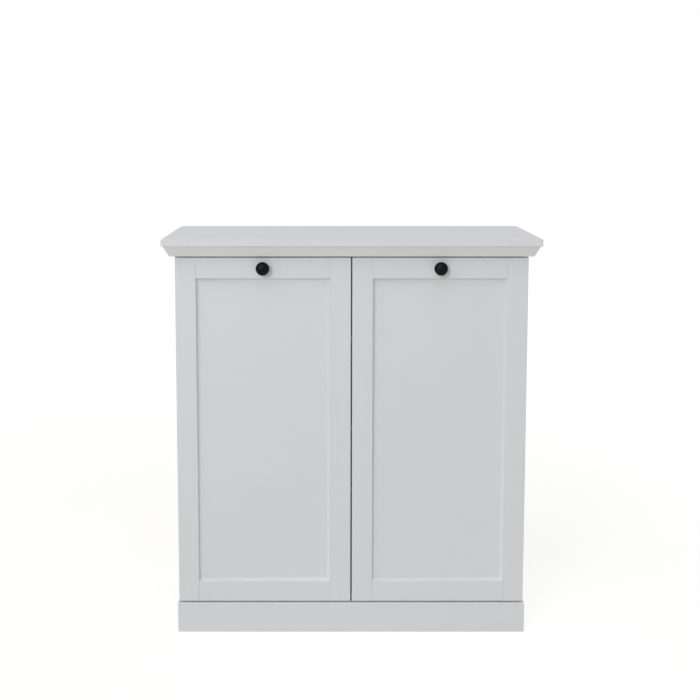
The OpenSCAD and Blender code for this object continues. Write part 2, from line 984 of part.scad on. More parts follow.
module knob_screw(side) {
    head_h = 2.4;
    color(steel)
        on_side(side)
            translate([flap_cx, flap_back, knob_z])
                rotate([90, 0, 0])
                    difference() {
                        union() {
                            cylinder(r = knob_screw_d / 2, h = flap_t + 11);
                            translate([0, 0, -head_h])
                                cylinder(r = knob_screw_d, h = head_h);
                        }
                        for (turn = [0, 90])
                            rotate([0, 0, turn])
                                translate([-2, -0.4, -head_h - 0.1])
                                    cube([4, 0.8, 1.3]);
                    }
}

// Strike plate behind the top rail, facing the magnet
module strike_screws(extra = 0) {
    for (dx = [-strike_screw_x, strike_screw_x])
        screw_forward(flap_cx + dx, flap_back + strike_t, magnet_z, extra);
}

module strike_plate(side) {
    color(steel)
        on_side(side)
            difference() {
                block([flap_cx - strike_w / 2, flap_back, magnet_z - strike_h / 2],
                    [flap_cx + strike_w / 2, flap_back + strike_t, magnet_z + strike_h / 2]);
                strike_screws(fit);
            }
}

// Stay brackets: a flange on the stile and an ear with the pivot rivet
module bracket_screws(extra = 0) {
    both_ends()
        for (dz = [-bracket_screw_dz, bracket_screw_dz])
            screw_forward(bracket_screw_x, flap_back + bracket_t, stay_pivot[1] + dz, extra);
}

module stay_brackets(side) {
    color(steel)
        on_side(side)
            difference() {
                both_ends() {
                    block([bracket_x + bracket_t - bracket_flange, flap_back, stay_pivot[1] - bracket_h / 2],
                        [bracket_x + bracket_t, flap_back + bracket_t, stay_pivot[1] + bracket_h / 2]);
                    block([bracket_x, flap_back, stay_pivot[1] - bracket_ear_h / 2],
                        [bracket_x + bracket_t, stay_pivot[0], stay_pivot[1] + bracket_ear_h / 2]);
                    rod_x(bracket_x, bracket_x + bracket_t, stay_pivot, bracket_ear_h / 2);
                    rod_x(bracket_x, stay_x + stay_t + slide + 1, stay_pivot, stay_pin_r);
                    rod_x(stay_x + stay_t + slide, stay_x + stay_t + slide + 1, stay_pivot, stay_head_r);
                }
                bracket_screws(fit);
            }
}

// Slotted stay bars
module stays(side) {
    near = stay_reach_0 - stud_d / 2 - slot_air + slot_r;
    far = stay_reach_1 + stud_d / 2 + slot_air - slot_r;
    color(steel)
        on_side(side)
            both_ends()
                along_x(stay_x, stay_x + stay_t)
                    translate(stay_pivot)
                        rotate(stay_slope)
                            difference() {
                                union() {
                                    circle(stay_w / 2);
                                    translate([far + stay_end - stay_w / 2 + slot_r, 0])
                                        circle(stay_w / 2);
                                    translate([0, -stay_w / 2])
                                        square([far + stay_end - stay_w / 2 + slot_r, stay_w]);
                                }
                                circle(stay_pin_r + pin_fit);
                                for (x = [near, far])
                                    translate([x, 0])
                                        circle(slot_r);
                                translate([near, -slot_r])
                                    square([far - near, 2 * slot_r]);
                            }
}

// Clips on the stiles that the bag frame's legs drop into
module clip_screws(extra = 0) {
    both_ends()
        for (drop = clip_drops)
            screw_forward(frame_x + clip_screw_x, flap_back + clip_ear_t, rim_z - drop + clip_h / 2, extra);
}

module wire_clips(side) {
    color(clear_grey)
        on_side(side)
            difference() {
                both_ends()
                    for (drop = clip_drops) {
                        x = frame_x - clip_block_w / 2;
                        z = rim_z - drop;
                        block([x, flap_back, z], [x + clip_block_w, flap_back + clip_d, z + clip_h]);
                        block([x, flap_back, z], [x + clip_w, flap_back + clip_ear_t, z + clip_h]);
                    }
                both_ends()
                    rod_z(frame_x, leg_y, rim_z - 2 * leg_l, rim_z, wire_r + 2 * fit);
                clip_screws(fit);
            }
}

// Bag frame: one bent wire with a thinner bar welded across it; extra grows both into the hem's channel
module quarter_bend(bend_r, r) {
    rotate_extrude(angle = 90)
        translate([bend_r, 0])
            circle(r);
}

module frame_wire(extra = 0) {
    r = wire_r + extra;
    both_ends() {
        rod_z(frame_x, leg_y, rim_z - leg_l, rim_z - leg_bend_r, r);
        translate([frame_x, leg_y + leg_bend_r, rim_z - leg_bend_r])
            rotate([90, 0, -90])
                quarter_bend(leg_bend_r, r);
        rod_y(frame_x, leg_y + leg_bend_r, frame_back - bag_corner_r, rim_z, r);
        translate([frame_x - bag_corner_r, frame_back - bag_corner_r, rim_z])
            quarter_bend(bag_corner_r, r);
    }
    rod_x(bay_cx - frame_x + bag_corner_r, bay_cx + frame_x - bag_corner_r, [frame_back, rim_z], r);
    rod_x(bay_cx - frame_x, bay_cx + frame_x, [frame_front, rim_z], bar_d / 2 + extra);
}

module bag_frame(side) {
    color(steel)
        on_side(side)
            frame_wire();
}

// Laundry bag: straight cloth walls and a floor, with a hem round the frame
module bag_outline(grow) {
    x = frame_x + grow;
    r = bag_corner_r + grow;
    front = frame_front - grow;
    back = frame_back + grow;
    translate([bay_cx, 0]) {
        translate([-x, front])
            square([2 * x, back - r - front]);
        translate([-x + r, back - r])
            square([2 * (x - r), r]);
        for (s = [-1, 1])
            translate([s * (x - r), back - r])
                circle(r);
    }
}

module laundry_bag(side) {
    color(linen)
        on_side(side)
            difference() {
                union() {
                    translate([0, 0, bag_z])
                        linear_extrude(rim_z - bag_z)
                            bag_outline(cloth_t / 2);
                    translate([0, 0, rim_z - hem_r])
                        linear_extrude(2 * hem_r)
                            bag_outline(hem_r);
                }
                translate([0, 0, bag_z + cloth_t])
                    linear_extrude(rim_z - bag_z)
                        bag_outline(-cloth_t / 2);
                translate([0, 0, rim_z - hem_r - 1])
                    linear_extrude(2 * hem_r + 2)
                        bag_outline(-hem_r);
                frame_wire(slide);
            }
}

module flap_screws(side) {
    color(steel)
        on_side(side) {
            cup_screws();
            strike_screws();
            bracket_screws();
            clip_screws();
        }
}

top_panel();
cornice_front();
cornice_end(left);  // cornice_left
cornice_end(right);  // cornice_right
top_rail_front();
top_rail_back();
side_panel(left);  // side_panel_left
side_panel(right);  // side_panel_right
centre_partition();
bottom_panel();
back_panel(left);  // back_panel_left
back_panel(right);  // back_panel_right
plinth_front();
plinth_end(left);  // plinth_left
plinth_end(right);  // plinth_right
plinth_back();
plinth_blocks();
cam_discs();
cam_bolts();
wooden_dowels();
back_nails();
cabinet_screws();
wall_plates();
magnets();
gap_spacers();
stay_studs();
hinge_plates();
hinge_arms();
stile(left, true);  // stile_outer_left
stile(left, false);  // stile_inner_left
rail_top(left);  // rail_top_left
rail_bottom(left);  // rail_bottom_left
panel(left);  // panel_left
knob(left);  // knob_left
knob_screw(left);  // knob_screw_left
strike_plate(left);  // strike_plate_left
hinge_cups(left);  // hinge_cups_left
flap_screws(left);  // flap_screws_left
stay_brackets(left);  // stay_brackets_left
wire_clips(left);  // wire_clips_left
bag_frame(left);  // bag_frame_left
laundry_bag(left);  // laundry_bag_left
hinge_links(left);  // hinge_links_left
stays(left);  // stays_left
stile(right, true);  // stile_outer_right
stile(right, false);  // stile_inner_right
rail_top(right);  // rail_top_right
rail_bottom(right);  // rail_bottom_right
panel(right);  // panel_right
knob(right);  // knob_right
knob_screw(right);  // knob_screw_right
strike_plate(right);  // strike_plate_right
hinge_cups(right);  // hinge_cups_right
flap_screws(right);  // flap_screws_right
stay_brackets(right);  // stay_brackets_right
wire_clips(right);  // wire_clips_right
bag_frame(right);  // bag_frame_right
laundry_bag(right);  // laundry_bag_right
hinge_links(right);  // hinge_links_right
stays(right);  // stays_right
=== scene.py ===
# %% [markdown]
# # A white laundry cabinet with two tilting flaps
#
# The real thing is flat-pack furniture: boards of fibreboard wrapped in matt white foil, two framed flaps
# that are hinged at the foot, and a cloth bag on a wire frame behind each flap. The construction is already
# done and stands in a fixed frame of CAD nodes. This file gives it its looks: eased edges on the boards, a
# coved bead round each panel, turned knobs, sewn bags, and a finish for every piece.

# %% Load the fixed frame
import json
import math
import random

import bmesh
import bpy
from mathutils import Matrix, Vector, noise

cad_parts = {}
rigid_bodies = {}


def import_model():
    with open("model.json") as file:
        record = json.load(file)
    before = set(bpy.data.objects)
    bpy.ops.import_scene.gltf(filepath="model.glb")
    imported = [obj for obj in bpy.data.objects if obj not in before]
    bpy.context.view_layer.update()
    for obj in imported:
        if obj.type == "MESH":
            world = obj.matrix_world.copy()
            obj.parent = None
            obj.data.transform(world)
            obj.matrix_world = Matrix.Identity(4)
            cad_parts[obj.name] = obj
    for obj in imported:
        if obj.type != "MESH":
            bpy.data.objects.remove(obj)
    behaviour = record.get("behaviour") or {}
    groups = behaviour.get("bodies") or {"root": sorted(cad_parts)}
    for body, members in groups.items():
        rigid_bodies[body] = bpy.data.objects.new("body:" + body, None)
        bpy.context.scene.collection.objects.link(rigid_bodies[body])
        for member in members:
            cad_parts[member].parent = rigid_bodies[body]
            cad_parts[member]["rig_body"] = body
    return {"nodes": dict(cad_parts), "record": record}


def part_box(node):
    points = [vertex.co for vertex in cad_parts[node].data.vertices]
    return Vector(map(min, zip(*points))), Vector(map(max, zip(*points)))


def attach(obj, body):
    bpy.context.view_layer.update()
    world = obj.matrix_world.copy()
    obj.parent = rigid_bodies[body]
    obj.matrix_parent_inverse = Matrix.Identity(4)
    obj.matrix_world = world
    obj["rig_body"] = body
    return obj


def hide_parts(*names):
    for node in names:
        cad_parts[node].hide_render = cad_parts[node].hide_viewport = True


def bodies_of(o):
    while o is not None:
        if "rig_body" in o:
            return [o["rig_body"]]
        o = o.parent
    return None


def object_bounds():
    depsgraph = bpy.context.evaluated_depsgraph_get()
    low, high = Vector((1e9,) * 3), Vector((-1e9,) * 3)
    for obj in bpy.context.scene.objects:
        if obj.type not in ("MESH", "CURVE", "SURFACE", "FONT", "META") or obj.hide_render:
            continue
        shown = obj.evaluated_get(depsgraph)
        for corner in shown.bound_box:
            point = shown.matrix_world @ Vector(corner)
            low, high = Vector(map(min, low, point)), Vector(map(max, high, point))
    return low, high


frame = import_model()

MM = 0.001
cad_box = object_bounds()
nodes = frame["nodes"]
slot_of = {part["node"]: part["material_slot"] for part in frame["record"]["subparts"]}

# %% [markdown]
# ## Colours and shader nodes
#
# A colour is easiest to pick as an sRGB hex value, the way it looks on a screen. The shaders mix light, so
# they need linear values, and one function turns the first into the second. A second function adds a shader
# node: constants are typed into its sockets, and another node's output in the same place makes a link.

# %% Helpers for materials
MIX_A, MIX_B, MIX_RESULT = 6, 7, 2  # the colour sockets of a Mix node


def linear(hex_code):
    """An sRGB colour such as #D4D6D8 as linear red, green, blue and alpha."""
    channels = [int(hex_code[i:i + 2], 16) / 255 for i in (1, 3, 5)]
    return (*[c / 12.92 if c <= 0.04045 else ((c + 0.055) / 1.055) ** 2.4 for c in channels], 1.0)


def add(tree, kind, inputs=None, **settings):
    """Adds one shader node; a value in inputs is a constant, or an output socket to link from."""
    made = tree.nodes.new("ShaderNode" + kind)
    for name, value in settings.items():
        setattr(made, name, value)
    for name, value in (inputs or {}).items():
        if isinstance(value, bpy.types.NodeSocket):
            tree.links.new(value, made.inputs[name])
        else:
            made.inputs[name].default_value = value
    return made


def new_material(name, **constants):
    """A material with its node tree and its Principled shader, whose constants are set by socket name."""
    material = bpy.data.materials.new(name)
    material.use_nodes = True
    shader = material.node_tree.nodes["Principled BSDF"]
    for socket, value in constants.items():
        shader.inputs[socket.replace("_", " ")].default_value = value
    return material, material.node_tree, shader


print("the foil's light tone is", [round(c, 3) for c in linear("#D9DCDF")[:3]])

# %% [markdown]
# ## Matt foil on fibreboard
#
# The visible boards are wrapped in a printed foil with a matt lacquer. It has no grain. What the eye gets is
# a very even pale grey-white with a soft, wide sheen, and only when light grazes it a trace of orange peel.
# The peel of a real foil is about 0.4 mm across, too fine to show, so it is drawn at 2.5 mm and kept shallow.
# The cornice moulding's foil is drawn a little lighter: painted light that lifts the shade on its downward
# slope. Boards inside have a duller melamine.

# %% Foil and melamine
PEEL = 2.5 * MM
CLOUD = 0.4  # metres from one faint cloud of tone to the next


def smooth_white(name, light_tone, dark_tone, roughness, peel_height):
    """Foil or melamine: two close tones in wide clouds, and a shallow orange peel."""
    material, tree, shader = new_material(name, IOR=1.5)
    place = add(tree, "TexCoord").outputs["Object"]
    cloud = add(tree, "TexNoise", {"Vector": place, "Scale": 1 / CLOUD, "Detail": 2.0})
    peel = add(tree, "TexNoise", {"Vector": place, "Scale": 1 / PEEL, "Detail": 1.0})
    tone = add(tree, "Mix", {"Factor": cloud.outputs["Fac"], MIX_A: linear(dark_tone),
                             MIX_B: linear(light_tone)}, data_type="RGBA")
    sheen = add(tree, "MapRange", {"Value": peel.outputs["Fac"], "To Min": roughness - 0.03,
                                   "To Max": roughness + 0.03})
    relief = add(tree, "Bump", {"Height": peel.outputs["Fac"], "Distance": peel_height})
    tree.links.new(tone.outputs[MIX_RESULT], shader.inputs["Base Color"])
    tree.links.new(sheen.outputs["Result"], shader.inputs["Roughness"])
    tree.links.new(relief.outputs["Normal"], shader.inputs["Normal"])
    return material


foil = smooth_white("matt_white_foil", "#D9DCDF", "#D6D9DC", 0.46, 0.010 * MM)
# painted light: a lighter copy of the foil for the cornice moulding, to lift the shade on its downward slope
cornice_foil_painted_lighter = smooth_white("cornice_foil_with_painted_light", "#E2E4E5", "#DFE1E2", 0.46, 0.010 * MM)
melamine = smooth_white("white_melamine", "#D6D7D6", "#D2D3D2", 0.52, 0.025 * MM)
print("made", foil.name, cornice_foil_painted_lighter.name, "and", melamine.name)

# %% [markdown]
# ## Hardboard
#
# The back panels are 3 mm wood fibre pressed wet on a screen. The face towards the inside is printed white.
# The other face is left bare: warm brown, dull, with fine fibres lying every way. One material serves both
# faces, because the object-space normal tells which way a face looks.

# %% Printed hardboard
FIBRE = 4 * MM   # one clump of fibres
STAIN = 90 * MM  # one darker patch, where the board dried more slowly


def printed_hardboard():
    """White towards the inside of the cabinet, bare brown fibre on the back."""
    material, tree, shader = new_material("printed_hardboard", IOR=1.45)
    coordinates = add(tree, "TexCoord")
    place = coordinates.outputs["Object"]
    facing = add(tree, "SeparateXYZ", {"Vector": coordinates.outputs["Normal"]}).outputs["Y"]
    bare = add(tree, "Math", {0: facing, 1: 0.5}, operation="GREATER_THAN").outputs["Value"]
    felt = add(tree, "TexNoise", {"Vector": place, "Scale": 1 / FIBRE, "Detail": 5.0, "Roughness": 0.7})
    clumps = add(tree, "MapRange", {"Value": felt.outputs["Fac"], "From Min": 0.35, "From Max": 0.65})
    stain = add(tree, "TexNoise", {"Vector": place, "Scale": 1 / STAIN, "Detail": 4.0})
    patches = add(tree, "MapRange", {"Value": stain.outputs["Fac"], "From Min": 0.35, "From Max": 0.65,
                                     "To Max": 0.5})
    brown = add(tree, "Mix", {"Factor": clumps.outputs["Result"], MIX_A: linear("#8E6F4A"),
                              MIX_B: linear("#C9A77F")}, data_type="RGBA")
    aged = add(tree, "Mix", {"Factor": patches.outputs["Result"], MIX_A: brown.outputs[MIX_RESULT],
                             MIX_B: linear("#9C7A54")}, data_type="RGBA")
    tone = add(tree, "Mix", {"Factor": bare, MIX_A: linear("#D6D7D6"),
                             MIX_B: aged.outputs[MIX_RESULT]}, data_type="RGBA")
    rough = add(tree, "MapRange", {"Value": bare, "To Min": 0.5, "To Max": 0.85})
    depth = add(tree, "Math", {0: felt.outputs["Fac"], 1: bare}, operation="MULTIPLY")
    relief = add(tree, "Bump", {"Height": depth.outputs["Value"], "Distance": 0.12 * MM})
    tree.links.new(tone.outputs[MIX_RESULT], shader.inputs["Base Color"])
    tree.links.new(rough.outputs["Result"], shader.inputs["Roughness"])
    tree.links.new(relief.outputs["Normal"], shader.inputs["Normal"])
    return material


hardboard = printed_hardboard()
print("made", hardboard.name)

# %% [markdown]
# ## Beech
#
# Dowels and glue blocks are bare beech: pale pinkish brown, fine straight grain, and the short dark flecks of
# the wood's rays. The grain is a noise squeezed across the length of the wood, and the flecks are a second,
# finer one that only shows where it peaks.

# %% Bare beech
GRAIN = 1.5 * MM


def bare_beech():
    """Sanded beech with straight grain along Z and small dark flecks."""
    material, tree, shader = new_material("bare_beech", IOR=1.5, Roughness=0.62)
    place = add(tree, "TexCoord").outputs["Object"]
    along = add(tree, "Mapping", {"Vector": place, "Scale": (1.0, 1.0, 0.12)}).outputs["Vector"]
    grain = add(tree, "TexNoise", {"Vector": along, "Scale": 1 / GRAIN, "Detail": 4.0})
    fleck = add(tree, "TexNoise", {"Vector": along, "Scale": 3 / GRAIN, "Detail": 1.0})
    peaks = add(tree, "MapRange", {"Value": fleck.outputs["Fac"], "From Min": 0.62, "From Max": 0.75})
    wood = add(tree, "Mix", {"Factor": grain.outputs["Fac"], MIX_A: linear("#C79F72"),
                             MIX_B: linear("#DDBB91")}, data_type="RGBA")
    tone = add(tree, "Mix", {"Factor": peaks.outputs["Result"], MIX_A: wood.outputs[MIX_RESULT],
                             MIX_B: linear("#A87B50")}, data_type="RGBA")
    relief = add(tree, "Bump", {"Height": grain.outputs["Fac"], "Distance": 0.05 * MM})
    tree.links.new(tone.outputs[MIX_RESULT], shader.inputs["Base Color"])
    tree.links.new(relief.outputs["Normal"], shader.inputs["Normal"])
    return material


beech = bare_beech()
print("made", beech.name)

# %% [markdown]
# ## The metals
#
# Four bare metals sit on this cabinet, and they differ in how the surface was made. Bright zinc plate is
# bluish with a faint bloom, nickel is warmer and smoother, a zinc die casting is grey and slightly pitted,
# and the bag's wire is chromed. One recipe serves them all: a tone that wanders a little, a roughness that
# follows the same noise, and a fine relief.

# %% Plated and cast metal
BLOOM = 12 * MM  # one cloud in a plated surface


def metal(name, light_tone, dark_tone, roughness, grit, relief_height):
    """Bare or plated metal whose tone and gloss wander over a given grit size."""
    material, tree, shader = new_material(name, Metallic=1.0)
    place = add(tree, "TexCoord").outputs["Object"]
    bloom = add(tree, "TexNoise", {"Vector": place, "Scale": 1 / BLOOM, "Detail": 3.0})
    grain = add(tree, "TexNoise", {"Vector": place, "Scale": 1 / grit, "Detail": 2.0})
    tone = add(tree, "Mix", {"Factor": bloom.outputs["Fac"], MIX_A: linear(dark_tone),
                             MIX_B: linear(light_tone)}, data_type="RGBA")
    gloss = add(tree, "MapRange", {"Value": bloom.outputs["Fac"], "To Min": roughness * 0.75,
                                   "To Max": roughness * 1.25})
    relief = add(tree, "Bump", {"Height": grain.outputs["Fac"], "Distance": relief_height})
    tree.links.new(tone.outputs[MIX_RESULT], shader.inputs["Base Color"])
    tree.links.new(gloss.outputs["Result"], shader.inputs["Roughness"])
    tree.links.new(relief.outputs["Normal"], shader.inputs["Normal"])
    return material


zinc_plate = metal("bright_zinc_plate", "#D3D7DB", "#B4B9BE", 0.30, 0.8 * MM, 0.006 * MM)
nickel = metal("satin_nickel_plate", "#D6D1C8", "#BDB8AF", 0.24, 0.6 * MM, 0.004 * MM)
casting = metal("zinc_die_casting", "#B4B4B0", "#8F8F8B", 0.48, 0.5 * MM, 0.03 * MM)
chrome = metal("bright_chrome_plate", "#DDDEDF", "#C9CBCD", 0.12, 1.5 * MM, 0.003 * MM)
print("made", zinc_plate.name, nickel.name, casting.name, chrome.name)

# %% [markdown]
# ## Black iron
#
# The knobs are cast iron with a thin satin black coat. It never looks pure black: the coat reflects a soft
# patch of the lamps, and the casting under it leaves a slight unevenness that breaks that patch up. The coat
# is powdery, so it mirrors less than a wet gloss would, and its specular level is turned down.

# %% Coated iron
CASTING_GRIT = 1.2 * MM


def black_coat():
    """Satin black coat over a slightly uneven casting."""
    material, tree, shader = new_material("satin_black_iron", IOR=1.5, Specular_IOR_Level=0.1)
    place = add(tree, "TexCoord").outputs["Object"]
    cast = add(tree, "TexNoise", {"Vector": place, "Scale": 1 / CASTING_GRIT, "Detail": 3.0})
    tone = add(tree, "Mix", {"Factor": cast.outputs["Fac"], MIX_A: linear("#08090B"),
                             MIX_B: linear("#0E1012")}, data_type="RGBA")
    gloss = add(tree, "MapRange", {"Value": cast.outputs["Fac"], "To Min": 0.30, "To Max": 0.40})
    relief = add(tree, "Bump", {"Height": cast.outputs["Fac"], "Distance": 0.02 * MM})
    tree.links.new(tone.outputs[MIX_RESULT], shader.inputs["Base Color"])
    tree.links.new(gloss.outputs["Result"], shader.inputs["Roughness"])
    tree.links.new(relief.outputs["Normal"], shader.inputs["Normal"])
    return material


iron = black_coat()
print("made", iron.name)

# %% [markdown]
# ## Milky plastic
#
# The clips and the spacers are moulded from undyed polypropylene. It is waxy and lets a little light in, so
# some subsurface scattering softens it, and the faint grain is the texture of the mould.

# %% Undyed polypropylene
MOULD_GRAIN = 0.8 * MM


def milky_plastic():
    """Waxy translucent white with a fine mould grain."""
    material, tree, shader = new_material("milky_polypropylene", IOR=1.49, Roughness=0.42,
                                          Subsurface_Weight=0.25, Subsurface_Scale=2 * MM)
    place = add(tree, "TexCoord").outputs["Object"]
    mould = add(tree, "TexNoise", {"Vector": place, "Scale": 1 / MOULD_GRAIN, "Detail": 2.0})
    tone = add(tree, "Mix", {"Factor": mould.outputs["Fac"], MIX_A: linear("#DAD9D2"),
                             MIX_B: linear("#E6E5DF")}, data_type="RGBA")
    relief = add(tree, "Bump", {"Height": mould.outputs["Fac"], "Distance": 0.01 * MM})
    tree.links.new(tone.outputs[MIX_RESULT], shader.inputs["Base Color"])
    tree.links.new(relief.outputs["Normal"], shader.inputs["Normal"])
    return material


plastic = milky_plastic()
print("made", plastic.name)

# %% [markdown]
# ## Cotton canvas
#
# The bags are sewn from undyed cotton canvas in a plain weave: each thread goes over one and under the next.
# The product of two sine waves, one along each thread direction, gives just that chequer of small bumps. Real
# canvas has a thread every 0.7 mm; here it is one every 2 mm, so that the weave still shows. The pattern
# follows the cloth because it reads the cloth's own flat cutting plan, kept as a UV map in metres.

# %% Plain weave
THREAD = 2.0 * MM
SLUB = 9 * MM  # length of a thicker place in a thread


def cotton_canvas(name, light_tone, dark_tone):
    """Undyed plain weave that follows the UV map named cut."""
    material, tree, shader = new_material(name, IOR=1.46, Roughness=0.9, Sheen_Weight=0.25,
                                          Sheen_Roughness=0.5)
    plan = add(tree, "UVMap", uv_map="cut").outputs["UV"]
    across = add(tree, "SeparateXYZ", {"Vector": plan})
    waves = []
    for axis in ("X", "Y"):
        turn = add(tree, "Math", {0: across.outputs[axis], 1: math.pi / THREAD}, operation="MULTIPLY")
        waves.append(add(tree, "Math", {0: turn.outputs["Value"]}, operation="SINE").outputs["Value"])
    weave = add(tree, "Math", {0: waves[0], 1: waves[1]}, operation="MULTIPLY").outputs["Value"]
    slub = add(tree, "TexNoise", {"Vector": plan, "Scale": 1 / SLUB, "Detail": 4.0})
    mix = add(tree, "MapRange", {"Value": weave, "From Min": -1.0, "From Max": 1.0, "To Min": 0.25,
                                 "To Max": 0.75})
    uneven = add(tree, "Math", {0: mix.outputs["Result"], 1: slub.outputs["Fac"]}, operation="MULTIPLY")
    # painted shade: the cloth is darker in the weave's hollows, as shade between the threads; the slub noise
    # adds the yarn's own uneven tone
    tone = add(tree, "Mix", {"Factor": uneven.outputs["Value"], MIX_A: linear(dark_tone),
                             MIX_B: linear(light_tone)}, data_type="RGBA")
    height = add(tree, "Math", {0: weave, 1: slub.outputs["Fac"]}, operation="ADD")
    relief = add(tree, "Bump", {"Height": height.outputs["Value"], "Distance": 0.12 * MM})
    tree.links.new(tone.outputs[MIX_RESULT], shader.inputs["Base Color"])
    tree.links.new(relief.outputs["Normal"], shader.inputs["Normal"])
    return material


canvas = cotton_canvas("undyed_cotton_canvas", "#ECE6D8", "#C9C0AC")
thread = cotton_canvas("cotton_thread", "#F1ECE0", "#D8D0BF")
print("made", canvas.name, "and", thread.name)

# %% [markdown]
# ## Every node gets its finish
#
# The record says which finish each CAD node has. All nodes are dressed here first; the pieces made below
# then stand in for some of them. The hardboard backs are the one exception to the record's plain slots.

# %% Dress the CAD nodes
finish_of = {"white_foil": foil, "white_inner_foil": melamine, "beech": beech, "zinc_casting": casting,
             "zinc_plated_steel": zinc_plate, "nickelled_steel": nickel, "chromed_wire": chrome,
             "black_iron": iron, "clear_plastic": plastic, "cotton_canvas": canvas}
for name, node in nodes.items():
    node.data.materials.clear()
    node.data.materials.append(finish_of[slot_of[name]])
for side in ("left", "right"):
    nodes[f"back_panel_{side}"].data.materials[0] = hardboard
print("dressed", len(nodes), "nodes in", len(finish_of), "finishes")

# %% [markdown]
# ## From a bmesh to a piece
#
# Every new piece goes the same way: a bmesh becomes an object at the origin, gets its material, is shaded
# smooth up to a given angle, rides on a body of the frame, and hides the CAD nodes that it stands for.

# %% Hand a shape over to the scene
def make_piece(name, shape, material, body, stands_for=(), smooth=35):
    """Turns a bmesh into an object that rides on a body and replaces the named CAD nodes."""
    mesh = bpy.data.meshes.new(name)
    shape.to_mesh(mesh)
    shape.free()
    piece = bpy.data.objects.new(name, mesh)
    bpy.context.scene.collection.objects.link(piece)
    mesh.materials.append(material)
    mesh.shade_smooth()
    mesh.set_sharp_from_angle(angle=math.radians(smooth))
    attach(piece, body)
    if stands_for:
        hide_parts(*stands_for)
    return piece


def body_of(node):
    """The name of the body that a CAD node rides on."""
    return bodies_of(nodes[node])[0]


# %% [markdown]
# ## Boards with eased edges
#
# A board never has a knife edge. Foil is wrapped round a small radius, and that radius is what catches the
# light and draws each board's outline. So each visible board is copied, its triangles are merged back into
# flat faces, and the long edges that lie in its outer planes are bevelled. Holes and grooves inside stay as
# they are. A Weighted Normal modifier then keeps the big faces flat and lets only the bevels shade round.

# %% Merge a board's triangles
WELD = 0.01 * MM
FLAT = math.radians(0.5)


def merged_copy(node):
    """A bmesh of a CAD node with its loose triangles joined into flat faces."""
    shape = bmesh.new()
    shape.from_mesh(nodes[node].data)
    bmesh.ops.remove_doubles(shape, verts=shape.verts, dist=WELD)
    bmesh.ops.dissolve_limit(shape, angle_limit=FLAT, verts=shape.verts, edges=shape.edges)
    return shape


trial = merged_copy("top_panel")
print("the worktop's", len(nodes["top_panel"].data.polygons), "triangles merge into", len(trial.faces),
      "faces")
trial.free()

# %% Ease the long edges of one board
PLANES = ("-x", "+x", "-y", "+y", "-z", "+z")
SHORTEST = 12 * MM
SHARP = math.radians(40)


def lies_in(edge, plane, lo, hi):
    """True if both ends of an edge lie in one outer plane of the board's box."""
    axis = "xyz".index(plane[1])
    at = lo[axis] if plane[0] == "-" else hi[axis]
    return all(abs(v.co[axis] - at) < WELD for v in edge.verts)


def ease(shape, radius, planes, lo, hi):
    """Rounds the long, sharp, outward edges that lie in the given outer planes."""
    edges = [e for e in shape.edges
             if len(e.link_faces) == 2 and e.is_convex and e.calc_length() > SHORTEST
             and e.calc_face_angle() > SHARP and any(lies_in(e, plane, lo, hi) for plane in planes)]
    bmesh.ops.bevel(shape, geom=edges, offset=radius, offset_type="OFFSET", segments=3, profile=0.5,
                    affect="EDGES", material=-1, clamp_overlap=True)
    return len(edges)


def eased_board(node, radius, planes=PLANES, material=foil):
    """A board with eased edges that stands for its CAD node."""
    shape = merged_copy(node)
    count = ease(shape, radius, planes, *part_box(node))
    piece = make_piece(node + "_eased", shape, material, body_of(node), [node])
    even = piece.modifiers.new("even_shading", "WEIGHTED_NORMAL")
    even.keep_sharp = True
    print(piece.name, count, "edges eased")
    return piece


# %% The worktop, the cornice and the plinth
WORKTOP_EASE = 1.0 * MM
CORNICE_EASE = 0.4 * MM
PLINTH_EASE = 0.8 * MM

eased_board("top_panel", WORKTOP_EASE)
for part in ("front", "left", "right"):
    # the cornice moulding takes the foil painted lighter against the shade on its slope
    eased_board(f"cornice_{part}", CORNICE_EASE, PLANES, cornice_foil_painted_lighter)
    eased_board(f"plinth_{part}", PLINTH_EASE)

# %% The carcass
BOARD_EASE = 0.5 * MM

for side in ("left", "right"):
    eased_board(f"side_panel_{side}", BOARD_EASE)
eased_board("centre_partition", BOARD_EASE, ("-y",), melamine)
eased_board("bottom_panel", BOARD_EASE, ("-y",), melamine)
eased_board("top_rail_front", BOARD_EASE, ("-y", "+y"), melamine)

# %% [markdown]
# ## The flaps' frames
#
# Each flap is a frame of two stiles and two rails. Where a rail meets a stile the two eased edges leave a
# hairline groove, which is the faint upright line above and below each panel. Only the front and back faces'
# edges are eased: the grooves and tongues that hold the frame together stay as they are.

# %% Stiles and rails
FRAME_EASE = 1.0 * MM

for side in ("left", "right"):
    for part in ("stile_outer", "stile_inner", "rail_top", "rail_bottom"):
        eased_board(f"{part}_{side}", FRAME_EASE, ("-y", "+y"))

# %% [markdown]
# ## The coved bead round each panel
#
# The frame doesn't step straight down to its panel. A hollow quarter-round bead fills the corner, so the
# recess shades softly: its foot catches the light from above, and its top and left side fade into shadow. Its
# outline is drawn once. A rectangle of edges starts at the lip and is extruded from point to point of that
# outline, shrinking as it goes in and back, until it meets its own start; so the corners come out mitred.

# %% Fit the beads
BEAD_W = 8.5 * MM      # how far the bead reaches onto the panel
BEAD_LIP = 1.2 * MM    # where it starts, below the face of the frame
BEAD_STEPS = 9


def bead_outline(depth):
    """Points (inside the frame, below its face) round the bead, from the lip over the hollow to the back."""
    hollow = [(BEAD_W * (1 - math.cos(t)), BEAD_LIP + (depth - BEAD_LIP) * math.sin(t))
              for t in (math.pi / 2 * i / BEAD_STEPS for i in range(BEAD_STEPS + 1))]
    return [*hollow, (0.0, depth)]


